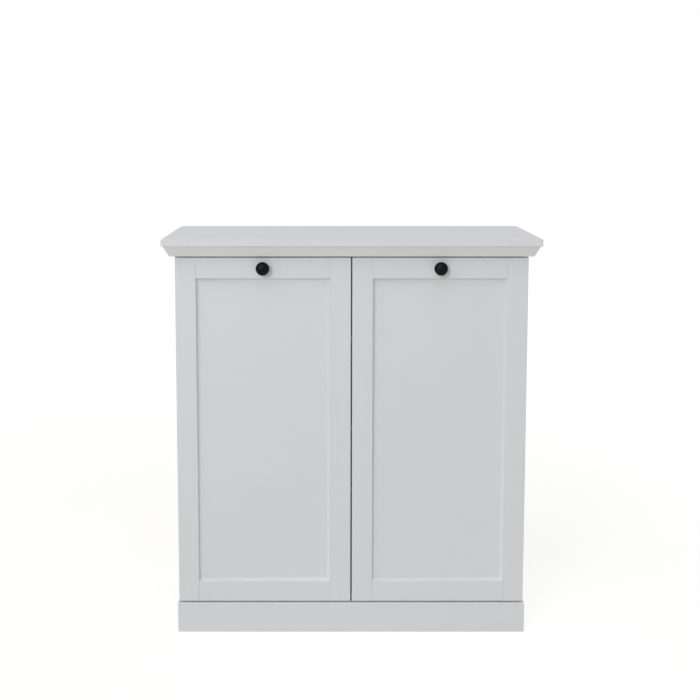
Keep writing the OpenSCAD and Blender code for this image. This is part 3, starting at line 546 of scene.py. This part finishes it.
def coved_bead(side):
    """A closed bead round the panel of one flap."""
    stiles = [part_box(f"stile_{part}_{side}") for part in ("outer", "inner")]
    left, right = min(hi.x for lo, hi in stiles), max(lo.x for lo, hi in stiles)
    low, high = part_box(f"rail_bottom_{side}")[1].z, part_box(f"rail_top_{side}")[0].z
    face, panel = stiles[0][0].y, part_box(f"panel_{side}")[0].y
    middle, wide, tall = Vector(((left + right) / 2, face, (low + high) / 2)), right - left, high - low
    outline = bead_outline(panel - face)
    shape = bmesh.new()
    square = Matrix.Rotation(math.pi / 2, 4, "X") @ Matrix.Rotation(math.pi / 4, 4, "Z")
    start = Matrix.Translation(middle + Vector((0, outline[0][1], 0))) @ Matrix.Diagonal((wide, 1, tall, 1))
    bmesh.ops.create_circle(shape, segments=4, radius=math.sqrt(0.5), matrix=start @ square)
    edges = shape.edges[:]
    for (inset, depth), (further, deeper) in zip(outline, outline[1:] + outline[:1]):
        made = bmesh.ops.extrude_edge_only(shape, edges=edges)["geom"]
        corners = [g for g in made if isinstance(g, bmesh.types.BMVert)]
        edges = [g for g in made if isinstance(g, bmesh.types.BMEdge) and set(g.verts) <= set(corners)]
        shrink = ((wide - 2 * further) / (wide - 2 * inset), 1, (tall - 2 * further) / (tall - 2 * inset))
        bmesh.ops.scale(shape, vec=shrink, space=Matrix.Translation(-middle), verts=corners)
        bmesh.ops.translate(shape, vec=(0, deeper - depth, 0), verts=corners)
    bmesh.ops.remove_doubles(shape, verts=shape.verts, dist=WELD)
    bmesh.ops.recalc_face_normals(shape, faces=shape.faces)
    piece = make_piece(f"panel_bead_{side}", shape, foil, f"{side}_flap")
    print(piece.name, len(piece.data.polygons), "faces")
    return piece


for side in ("left", "right"):
    coved_bead(side)

# %% [markdown]
# ## Knobs
#
# A knob is a turned shape, so its outline is drawn once and spun about its axis. From the flap outwards it
# has a small foot, a waisted neck, a rounded rim, a fine groove inside the rim, and a low dome. The spin goes
# all the way round, so its first and last rings are merged.

# %% Turn the knobs
KNOB_STEPS = 72


def arc(centre, radius, start, end, steps):
    """Points (out, along) on part of a circle or ellipse, angles in degrees."""
    across, up = radius if isinstance(radius, tuple) else (radius, radius)
    turns = [math.radians(start + (end - start) * i / steps) for i in range(steps + 1)]
    return [(centre[0] + across * math.cos(t), centre[1] + up * math.sin(t)) for t in turns]


def knob_outline(head_r, reach):
    """Half outline of the knob in mm: distance from the axis, distance out of the flap."""
    neck_r, foot_r, rim_at, rim_r = 6.5, 9.0, reach - 10.0, 1.1
    groove_r = head_r - 2.3
    return [(foot_r, 0.0), *arc((foot_r - 0.6, 0.9), 0.6, 0, 90, 3), (neck_r + 0.2, 2.6),
            *arc((neck_r + 6.4, 3.0), (6.4, rim_at - 3.4), 180, 96, 8),
            (head_r - 1.4, rim_at), *arc((head_r - rim_r, rim_at + 1.1), rim_r, -70, 80, 6),
            (groove_r + 0.5, rim_at + 1.9), (groove_r, rim_at + 1.8),
            *arc((0.0, rim_at + 1.9), (groove_r - 0.3, reach - rim_at - 1.9), 4, 90, 14)]


def turned_knob(side):
    """The knob of one flap, spun about the axis that points out of the flap."""
    lo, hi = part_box(f"knob_{side}")
    centre = (lo + hi) / 2
    outline = knob_outline((hi.x - lo.x) / 2 / MM, (hi.y - lo.y) / MM)
    shape = bmesh.new()
    line = [shape.verts.new((centre.x + out * MM, hi.y - along * MM, centre.z)) for out, along in outline]
    edges = [shape.edges.new(pair) for pair in zip(line, line[1:])]
    bmesh.ops.spin(shape, geom=line + edges, cent=centre, axis=(0, 1, 0), angle=math.tau,
                   steps=KNOB_STEPS, use_merge=True)
    bmesh.ops.remove_doubles(shape, verts=shape.verts, dist=WELD)
    rim = [e for e in shape.edges if e.is_boundary]
    bmesh.ops.edgeloop_fill(shape, edges=rim)
    bmesh.ops.recalc_face_normals(shape, faces=shape.faces)
    piece = make_piece(f"turned_knob_{side}", shape, iron, body_of(f"knob_{side}"),
                       [f"knob_{side}"], smooth=40)
    print(piece.name, len(piece.data.polygons), "faces")
    return piece


for side in ("left", "right"):
    turned_knob(side)

# %% [markdown]
# ## The bag, cut and hung
#
# A laundry bag is a box of cloth that hangs from the wire. It is cut a little larger than the frame, so it
# falls in soft folds below the hem, and its floor sags. The shape starts as a cube with two rounded corners
# and no lid, is sliced into a fine grid, and is then dropped in a cloth simulation. The rim is held fast. The
# rest is held loosely by the pins' weight, as the stiff seams of a real bag do, so that it folds and doesn't
# billow. Each move is then eased towards a limit, which keeps the cloth clear of the stays beside it.
#
# Cloth that buckles magnifies the smallest difference, even the order in which its faces are added up.
# Cutting leaves the faces in an order that changes from run to run, so they are sorted before the bag is
# hung.

# %% Read where it hangs
WIRE_R = 2.5 * MM
HEM_R = 4.3 * MM
CORNER_R = 25 * MM
HEM_DROP = 14 * MM   # from the wire down to the hem's lower edge
TUCK = 4 * MM        # how far the wall runs up inside the hem
CELL = 11 * MM       # grid of the cloth
BEND_CUTS = 5        # faces round each back corner of the cloth


class Rim:
    """The lines that one bag hangs from, read from the frame."""

    def __init__(self, side):
        wire_lo, wire_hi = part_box(f"bag_frame_{side}")
        bag_lo, bag_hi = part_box(f"laundry_bag_{side}")
        self.x0, self.x1 = wire_lo.x + WIRE_R, wire_hi.x - WIRE_R
        self.front, self.back = bag_lo.y + HEM_R, wire_hi.y - WIRE_R
        self.z = wire_hi.z - WIRE_R
        self.floor = bag_lo.z


rims = {side: Rim(side) for side in ("left", "right")}
for side, rim in rims.items():
    print(side, "bag hangs in", round((rim.x1 - rim.x0) / MM), "by", round((rim.back - rim.front) / MM), "mm")

# %% Cut the bag
def slices(start, end, step):
    """Evenly spaced places between two planes, ends left out."""
    count = max(1, round(abs(end - start) / step))
    return [start + (end - start) * i / count for i in range(1, count)]


def in_fixed_order(shape):
    """The same points and faces, with the faces sorted by the points that they join."""
    shape.verts.index_update()
    loops = []
    for face in shape.faces:
        loop = [vertex.index for vertex in face.verts]
        first = loop.index(min(loop))
        loops.append(loop[first:] + loop[:first])
    fixed = bmesh.new()
    points = [fixed.verts.new(vertex.co) for vertex in shape.verts]
    for loop in sorted(loops):
        fixed.faces.new([points[i] for i in loop])
    fixed.normal_update()
    shape.free()
    return fixed


def cut_bag(rim):
    """An open box of cloth as a grid, with its flat cutting plan as a UV map in metres."""
    top = rim.z - HEM_DROP + TUCK
    shape = bmesh.new()
    size = Vector((rim.x1 - rim.x0, rim.back - rim.front, top - rim.floor))
    middle = Vector(((rim.x0 + rim.x1) / 2, (rim.front + rim.back) / 2, (top + rim.floor) / 2))
    bmesh.ops.create_cube(shape, size=1.0)
    bmesh.ops.scale(shape, vec=size, verts=shape.verts)
    bmesh.ops.translate(shape, vec=middle, verts=shape.verts)
    upright = [e for e in shape.edges if abs(e.verts[0].co.z - e.verts[1].co.z) > CELL
               and e.verts[0].co.y > middle.y]
    bmesh.ops.bevel(shape, geom=upright, offset=CORNER_R, offset_type="OFFSET", segments=BEND_CUTS,
                    profile=0.5, affect="EDGES", material=-1)
    lid = [f for f in shape.faces if f.normal.z > 0.5]
    bmesh.ops.delete(shape, geom=lid, context="FACES_ONLY")
    cuts = [(axis, at) for axis, ends in enumerate(((rim.x0, rim.x1), (rim.front, rim.back),
                                                    (rim.floor, top))) for at in slices(*ends, CELL)]
    for axis, at in cuts:
        plane = [at if axis == i else 0.0 for i in range(3)]
        facing = [1.0 if axis == i else 0.0 for i in range(3)]
        bmesh.ops.bisect_plane(shape, geom=[*shape.verts, *shape.edges, *shape.faces], dist=WELD,
                               plane_co=plane, plane_no=facing)
    shape = in_fixed_order(shape)
    plan = shape.loops.layers.uv.new("cut")
    for face in shape.faces:
        flat = max(range(3), key=lambda i: abs(face.normal[i]))
        first, second = [i for i in range(3) if i != flat]
        for loop in face.loops:
            loop[plan].uv = (loop.vert.co[first], loop.vert.co[second])
    return shape


# %% Hang it
SLACK = 0.05         # the cloth is cut this much larger than the frame
LOOSE_HOLD = 0.2     # how firmly the seams keep the cloth in its box shape
SETTLE_FRAMES = 28
SIDE_REACH = 9 * MM
DROP_REACH = 14 * MM
CANVAS_CLOTH = {"quality": 6, "mass": 0.25, "tension_stiffness": 40, "compression_stiffness": 40,
                "shear_stiffness": 10, "bending_stiffness": 3, "air_damping": 2, "shrink_min": -SLACK}
cut_of = {}


def eased(distance, reach):
    """Follows small distances closely and never exceeds the reach."""
    return reach * math.tanh(distance / reach)


def hang(piece):
    """Lets the cloth settle from its held rim, then eases each move towards its limit."""
    start = cut_of[piece.name]
    top = max(p.z for p in start)
    held = piece.vertex_groups.new(name="held")
    for index, place in enumerate(start):
        held.add([index], 1.0 if place.z > top - WELD else LOOSE_HOLD, "REPLACE")
    cloth = piece.modifiers.new("canvas", "CLOTH")
    for setting, value in CANVAS_CLOTH.items():
        setattr(cloth.settings, setting, value)
    cloth.settings.vertex_group_mass = held.name
    cloth.collision_settings.use_collision = False
    scene = bpy.context.scene
    for tick in range(1, SETTLE_FRAMES + 1):
        scene.frame_set(tick)
    settled = piece.evaluated_get(bpy.context.evaluated_depsgraph_get()).data
    moves = [settled.vertices[i].co - p for i, p in enumerate(start)]
    piece.modifiers.remove(cloth)
    piece.vertex_groups.remove(held)
    scene.frame_set(1)
    for vertex, place, move in zip(piece.data.vertices, start, moves):
        side = Vector((move.x, move.y, 0))
        if side.length > 0:
            side *= eased(side.length, SIDE_REACH) / side.length
        vertex.co = place + side + Vector((0, 0, eased(move.z, DROP_REACH)))
    return max(m.length for m in moves)


# %% Make both bags
CLOTH_T = 1.3 * MM
bags = {}
for side, rim in rims.items():
    bag = make_piece(f"canvas_bag_{side}", cut_bag(rim), canvas, f"{side}_flap",
                     [f"laundry_bag_{side}"], smooth=180)
    cut_of[bag.name] = [v.co.copy() for v in bag.data.vertices]
    print(bag.name, "moved up to", round(hang(bag) / MM, 1), "mm before the limits")
    finer = bag.modifiers.new("finer", "SUBSURF")
    finer.levels = finer.render_levels = 1
    wall = bag.modifiers.new("wall", "SOLIDIFY")
    wall.thickness, wall.offset = CLOTH_T, 0.0
    bags[side] = bag
    print(bag.name, len(bag.data.vertices), "points")

# %% [markdown]
# ## Bound seams
#
# The bag is sewn from panels, and the raw edges are bound with narrow cotton tape: up both front corners and
# once round the floor. The tape follows the hung cloth, so its path is read from the points that lay on
# those lines in the cut. A curve with a round bevel makes the tape, and is then turned into a mesh.

# %% Sew tape along the seams
TAPE_R = 2.2 * MM
SEAM_INSET = 1.6 * MM  # the cloth's corners are rounded, so the tape sits a little inside them


def plan_from_place(shape):
    """A UV map for small sewn parts, taken from where each point lies."""
    plan = shape.loops.layers.uv.get("cut") or shape.loops.layers.uv.new("cut")
    for face in shape.faces:
        for loop in face.loops:
            x, y, z = loop.vert.co
            loop[plan].uv = (x + y, z)


def seam_lines(side):
    """Three lists of points on the hung cloth: two upright seams and the closed one round the floor."""
    rim, cut = rims[side], cut_of[bags[side].name]
    now = [v.co for v in bags[side].data.vertices]
    centre = Vector(((rim.x0 + rim.x1) / 2, (rim.front + rim.back) / 2, 0))
    inwards = [Vector(((centre - p).x, (centre - p).y, 0)).normalized() * SEAM_INSET for p in cut]
    lines = []
    for x in (rim.x0, rim.x1):
        on_line = [i for i, p in enumerate(cut) if abs(p.x - x) < WELD and abs(p.y - rim.front) < WELD]
        on_line.sort(key=lambda i: cut[i].z)
        lines.append([now[i] + inwards[i] for i in on_line])
    mesh = bags[side].data
    folds = set()
    for polygon in mesh.polygons:
        if max(cut[i].z for i in polygon.vertices) > rim.floor + WELD:
            folds.update(i for i in polygon.vertices if cut[i].z < rim.floor + WELD)
    around = sorted(folds, key=lambda i: math.atan2(cut[i].y - centre.y, cut[i].x - centre.x))
    lines.append([now[i] + inwards[i] + Vector((0, 0, SEAM_INSET)) for i in around])
    return lines


def tape_piece(side):
    """The tape of one bag's three seams as one mesh."""
    curve = bpy.data.curves.new("tape_path", "CURVE")
    curve.dimensions = "3D"
    curve.bevel_depth, curve.bevel_resolution = TAPE_R, 2
    curve.use_fill_caps = True
    for number, points in enumerate(seam_lines(side)):
        spline = curve.splines.new("POLY")
        spline.points.add(len(points) - 1)
        for point, place in zip(spline.points, points):
            point.co = (*place, 1.0)
        spline.use_cyclic_u = number == 2
    path = bpy.data.objects.new("tape_path", curve)
    bpy.context.scene.collection.objects.link(path)
    shape = bmesh.new()
    shape.from_mesh(path.evaluated_get(bpy.context.evaluated_depsgraph_get()).to_mesh())
    bpy.data.objects.remove(path)
    bmesh.ops.recalc_face_normals(shape, faces=shape.faces)
    plan_from_place(shape)
    piece = make_piece(f"bag_tape_{side}", shape, thread, f"{side}_flap", smooth=60)
    print(piece.name, len(piece.data.polygons), "faces")
    return piece


for side in bags:
    tape_piece(side)

# %% [markdown]
# ## The hem
#
# The top edge of the cloth is folded over the wire and sewn down below it. Seen from the end, the hem is a
# drop: round where it goes over the wire, and pinched flat at the stitches. That outline is drawn once and
# extruded along the wire; the spin operator does both the straight runs, with no angle, and the bends. At
# the two front corners the hem stops short, because there the wire runs on into the flap's clips.

# %% Draw the hem's outline
HEM_GAP = 11 * MM      # bare wire left at each front corner
PINCH = CLOTH_T * 1.1  # half the hem's thickness at its foot


def drop_outline(shape, at, outwards):
    """A closed ring of edges round the wire at a point, pinched together at its foot."""
    up = Vector((0, 0, 1))
    over = arc((0.0, 0.0), HEM_R / MM, -35, 215, 12)
    points = [outwards * (x * MM) + up * (z * MM) for x, z in over]
    points += [-outwards * PINCH - up * HEM_DROP, outwards * PINCH - up * HEM_DROP]
    ring = [shape.verts.new(at + p) for p in points]
    return ring, [shape.edges.new((a, b)) for a, b in zip(ring, ring[1:] + ring[:1])]


print("the hem is", round(2 * HEM_R / MM, 1), "mm thick at the wire and", round(2 * PINCH / MM, 1),
      "mm at its foot")

# %% Sew the hem round the wire
HEM_STEP = 9 * MM     # one slice of a straight run
BEND_STEPS = 8
PUCKER = 0.45 * MM    # how far sewing pulls the cloth in and out
PUCKERS = 90          # swellings in a metre
PUCKER_SEED = {"left": 3, "right": 8}


def extrude_along(shape, ring, runs):
    """Carries a ring of edges along straight runs and bends, and closes both ends."""
    start_edges = ring[1]
    geom = [*ring[0], *ring[1]]
    for centre, angle, step, count in runs:
        made = bmesh.ops.spin(shape, geom=geom, cent=centre, axis=(0, 0, 1), dvec=step, angle=angle,
                              steps=count, use_merge=False)
        geom = made["geom_last"]
    bmesh.ops.edgeloop_fill(shape, edges=[g for g in geom if isinstance(g, bmesh.types.BMEdge)])
    bmesh.ops.edgeloop_fill(shape, edges=start_edges)
    bmesh.ops.recalc_face_normals(shape, faces=shape.faces)


def pucker(shape, seed):
    """Small uneven swelling, so that the hem looks sewn and not moulded."""
    noise.seed_set(seed)  # unseeded noise follows the clock
    for vertex in shape.verts:
        vertex.co += noise.noise_vector(vertex.co * PUCKERS) * PUCKER


def hem_runs(rim):
    """The straight runs and bends of the hem's long part, from one front corner round to the other."""
    side_l = rim.back - CORNER_R - rim.front - HEM_GAP
    back_l = rim.x1 - rim.x0 - 2 * CORNER_R
    side_n, back_n = round(side_l / HEM_STEP), round(back_l / HEM_STEP)
    none = Vector()
    return [(none, 0.0, Vector((0, side_l / side_n, 0)), side_n),
            (Vector((rim.x1 - CORNER_R, rim.back - CORNER_R, rim.z)), math.pi / 2, none, BEND_STEPS),
            (none, 0.0, Vector((-back_l / back_n, 0, 0)), back_n),
            (Vector((rim.x0 + CORNER_R, rim.back - CORNER_R, rim.z)), math.pi / 2, none, BEND_STEPS),
            (none, 0.0, Vector((0, -side_l / side_n, 0)), side_n)]


def sewn_hem(side, rim):
    """The hem of one bag: a long part round three sides and a short one along the front bar."""
    shape = bmesh.new()
    corner = Vector((rim.x1, rim.front + HEM_GAP, rim.z))
    extrude_along(shape, drop_outline(shape, corner, Vector((1, 0, 0))), hem_runs(rim))
    front = bmesh.new()
    width = rim.x1 - rim.x0 - 2 * HEM_GAP
    count = round(width / HEM_STEP)
    left = Vector((rim.x0 + HEM_GAP, rim.front, rim.z))
    extrude_along(front, drop_outline(front, left, Vector((0, -1, 0))),
                  [(Vector(), 0.0, Vector((width / count, 0, 0)), count)])
    joined = bpy.data.meshes.new("front_hem")
    front.to_mesh(joined)
    front.free()
    shape.from_mesh(joined)
    bpy.data.meshes.remove(joined)
    pucker(shape, PUCKER_SEED[side])
    plan_from_place(shape)
    piece = make_piece(f"bag_hem_{side}", shape, canvas, f"{side}_flap", smooth=50)
    print(piece.name, len(piece.data.polygons), "faces")
    return piece


for side, rim in rims.items():
    sewn_hem(side, rim)

# %% [markdown]
# ## Stitches
#
# A lockstitch shows as a row of short threads with a small gap between them. Each is a tiny stretched ball,
# laid along the hem at the same step on both faces. A path is walked in even steps to place them; the length
# of one stitch is drawn at 5 mm where a real one is 3 mm, so that the row can be seen.

# %% Walk along the hem and lay stitches
STITCH_STEP = 6.5 * MM
STITCH_L = 5.0 * MM
STITCH_R = 0.5 * MM
STITCH_UP = 4 * MM   # from the hem's lower edge up to the stitches
STITCH_WANDER = 0.3 * MM
STITCH_SEED = {"left": 5, "right": 6}
FLANK = 0.6          # the hem's half thickness below the wire, as a share of its radius there


def walk(rim):
    """Points, directions and outward sides along the hem, one for each stitch."""
    side_l = rim.back - CORNER_R - rim.front - HEM_GAP
    back_l = rim.x1 - rim.x0 - 2 * CORNER_R
    bend_l = CORNER_R * math.pi / 2
    front_l = rim.x1 - rim.x0 - 2 * HEM_GAP
    x_axis, y_axis = Vector((1, 0, 0)), Vector((0, 1, 0))
    straight = [(Vector((rim.x1, rim.front + HEM_GAP, 0)), y_axis, x_axis, side_l),
                (Vector((rim.x1 - CORNER_R, rim.back, 0)), -x_axis, y_axis, back_l),
                (Vector((rim.x0, rim.back - CORNER_R, 0)), -y_axis, -x_axis, side_l),
                (Vector((rim.x0 + HEM_GAP, rim.front, 0)), x_axis, -y_axis, front_l)]
    for start, along, out, length in straight:
        for i in range(int(length / STITCH_STEP)):
            yield start + along * (STITCH_STEP * (i + 0.5)), along, out
    for centre_x, start in ((rim.x1 - CORNER_R, 0.0), (rim.x0 + CORNER_R, math.pi / 2)):
        for i in range(int(bend_l / STITCH_STEP)):
            turn = start + STITCH_STEP * (i + 0.5) / CORNER_R
            out = Vector((math.cos(turn), math.sin(turn), 0))
            yield Vector((centre_x, rim.back - CORNER_R, 0)) + out * CORNER_R, Vector((-out.y, out.x, 0)), out


def stitch_row(side, rim):
    """Both faces' stitches of one bag, as one piece."""
    shape = bmesh.new()
    random.seed(STITCH_SEED[side])
    height = rim.z - HEM_DROP + STITCH_UP
    share = STITCH_UP / (HEM_DROP - HEM_R)
    proud = PINCH * (1 - share) + HEM_R * FLANK * share
    for place, along, out in walk(rim):
        for face in (1, -1):
            lift = Vector((0, 0, height + random.uniform(-STITCH_WANDER, STITCH_WANDER)))
            at = place + lift + out * (face * proud)
            turn = Matrix((along, out, Vector((0, 0, 1)))).transposed().to_4x4()
            size = Matrix.Diagonal((STITCH_L / 2, STITCH_R, STITCH_R, 1))
            bmesh.ops.create_uvsphere(shape, u_segments=6, v_segments=4, radius=1.0,
                                      matrix=Matrix.Translation(at) @ turn @ size
                                      @ Matrix.Rotation(math.pi / 2, 4, "Y"))
    plan_from_place(shape)
    piece = make_piece(f"bag_stitches_{side}", shape, thread, f"{side}_flap", smooth=180)
    print(piece.name, len(piece.data.polygons), "faces")
    return piece


for side, rim in rims.items():
    stitch_row(side, rim)

# %% [markdown]
# ## Floor and light
#
# The cabinet stands on a white sweep that ends in a plain white background. White comes from what the
# camera sees, not from more light: for camera, mirror and glass rays the floor adds its own white, and the
# world behind it is plain white. The rest of the floor is ordinary diffuse paint, so it still carries the
# cabinet's shadow and bounces light up under the cornice.

# %% White floor
FLOOR_SIDE = 40.0
OWN_SHARE = 0.7          # how much of what is seen comes from the floor's own white
LIT_PART = 1.2           # metres round the cabinet that the lamps light evenly
FADE = 4.0               # metres over which the lamps' light falls off
OWN_NEAR, OWN_FAR = 1.18, 1.37  # strength that lifts the rest to white, on the lit part and past the fade


def seen_directly(tree):
    """1 for camera, glossy and transmission rays, and 0 for all others."""
    path = add(tree, "LightPath")
    mirror = add(tree, "Math", {0: path.outputs["Is Camera Ray"], 1: path.outputs["Is Glossy Ray"]},
                 operation="MAXIMUM")
    return add(tree, "Math", {0: mirror.outputs["Value"], 1: path.outputs["Is Transmission Ray"]},
               operation="MAXIMUM").outputs["Value"]


def white_floor():
    """Diffuse white that turns mostly into its own white where it is seen directly."""
    material = bpy.data.materials.new("white_sweep")
    material.use_nodes = True
    tree = material.node_tree
    tree.nodes.clear()
    paint = add(tree, "BsdfDiffuse", {"Color": linear("#E6E4DF")})
    away = add(tree, "VectorMath", {0: add(tree, "TexCoord").outputs["Object"]}, operation="LENGTH")
    white = add(tree, "MapRange", {"Value": away.outputs["Value"], "From Min": LIT_PART,
                                   "From Max": LIT_PART + FADE, "To Min": OWN_NEAR, "To Max": OWN_FAR})
    own = add(tree, "Emission", {"Color": linear("#FFFFFF"), "Strength": white.outputs["Result"]})
    share = add(tree, "Math", {0: seen_directly(tree), 1: OWN_SHARE}, operation="MULTIPLY")
    mix = add(tree, "MixShader", {"Fac": share.outputs["Value"], 1: paint.outputs["BSDF"],
                                  2: own.outputs["Emission"]})
    add(tree, "OutputMaterial", {"Surface": mix.outputs["Shader"]})
    return material


ground = bmesh.new()
bmesh.ops.create_grid(ground, x_segments=1, y_segments=1, size=FLOOR_SIDE / 2)
floor_mesh = bpy.data.meshes.new("floor")
ground.to_mesh(floor_mesh)
ground.free()
floor_mesh.materials.append(white_floor())
floor = bpy.data.objects.new("floor", floor_mesh)
bpy.context.scene.collection.objects.link(floor)
print("floor is", FLOOR_SIDE, "m wide")

# %% World
AMBIENT = 0.30


def white_world():
    """A dim even sky for lighting, and plain white where it is seen directly."""
    world = bpy.data.worlds.new("studio")
    world.use_nodes = True
    tree = world.node_tree
    tree.nodes.clear()
    strength = add(tree, "MapRange", {"Value": seen_directly(tree), "To Min": AMBIENT, "To Max": 1.0})
    sky = add(tree, "Background", {"Color": linear("#FFFFFF"), "Strength": strength.outputs["Result"]})
    add(tree, "OutputWorld", {"Surface": sky.outputs["Background"]})
    return world


bpy.context.scene.world = white_world()
print("ambient light", AMBIENT)

# %% [markdown]
# ## Lamps
#
# Four large lamps, because soft light comes from large lamps. The key stands in front, a little to the left
# and above, and throws the knobs' short shadows. A softbox high in front and a larger one high on the left
# light the worktop and the foot of each panel's bead, and leave the bead's top and left side in shade. A weak
# one behind keeps the back from going dark.

# %% Key, softbox, high left and back lamps
def lamp(name, place, aim, size, power):
    """A square area lamp at a place, turned towards a point."""
    data = bpy.data.lights.new(name, "AREA")
    data.shape, data.size, data.energy = "SQUARE", size, power
    made = bpy.data.objects.new(name, data)
    made.location = place
    made.rotation_euler = (Vector(aim) - Vector(place)).to_track_quat("-Z", "Y").to_euler()
    bpy.context.scene.collection.objects.link(made)
    return made


middle = (cad_box[0] + cad_box[1]) / 2
lamp("key", (-3.4, -7.6, 3.8), middle, 2.4, 258)
lamp("softbox", (0.0, -3.0, 6.8), middle, 3.0, 92)
lamp("high_left", (-4.15, -2.55, 5.45), middle, 4.0, 76)
lamp("back", (3.4, 2.6, 0.9), middle, 1.4, 64)
print("four lamps aim at", [round(v, 2) for v in middle])

# %% [markdown]
# ## Camera
#
# The picture was taken from about chest height, a little left of the middle, with a level camera whose lens
# was shifted down, which keeps upright edges upright. A large shift would push the cabinet out of the picture
# in every other view, so most of it is given to a slight downward tilt here.

# %% The photograph's viewpoint
EYE = (-0.0504, -2.92, 1.157)
TILT = 6.5              # degrees downwards
SENSOR, LENS = 36.0, 63.0
SHIFT = (0.0295, -0.1113)


def look():
    """The camera at the picture's viewpoint."""
    data = bpy.data.cameras.new("camera")
    data.sensor_width, data.lens = SENSOR, LENS
    data.shift_x, data.shift_y = SHIFT
    made = bpy.data.objects.new("camera", data)
    made.location = EYE
    made.rotation_euler = (math.radians(90 - TILT), 0, 0)
    bpy.context.scene.collection.objects.link(made)
    return made


bpy.context.scene.camera = look()
bpy.context.scene.view_settings.view_transform = "Standard"
print("camera at", list(bpy.context.scene.camera.location))
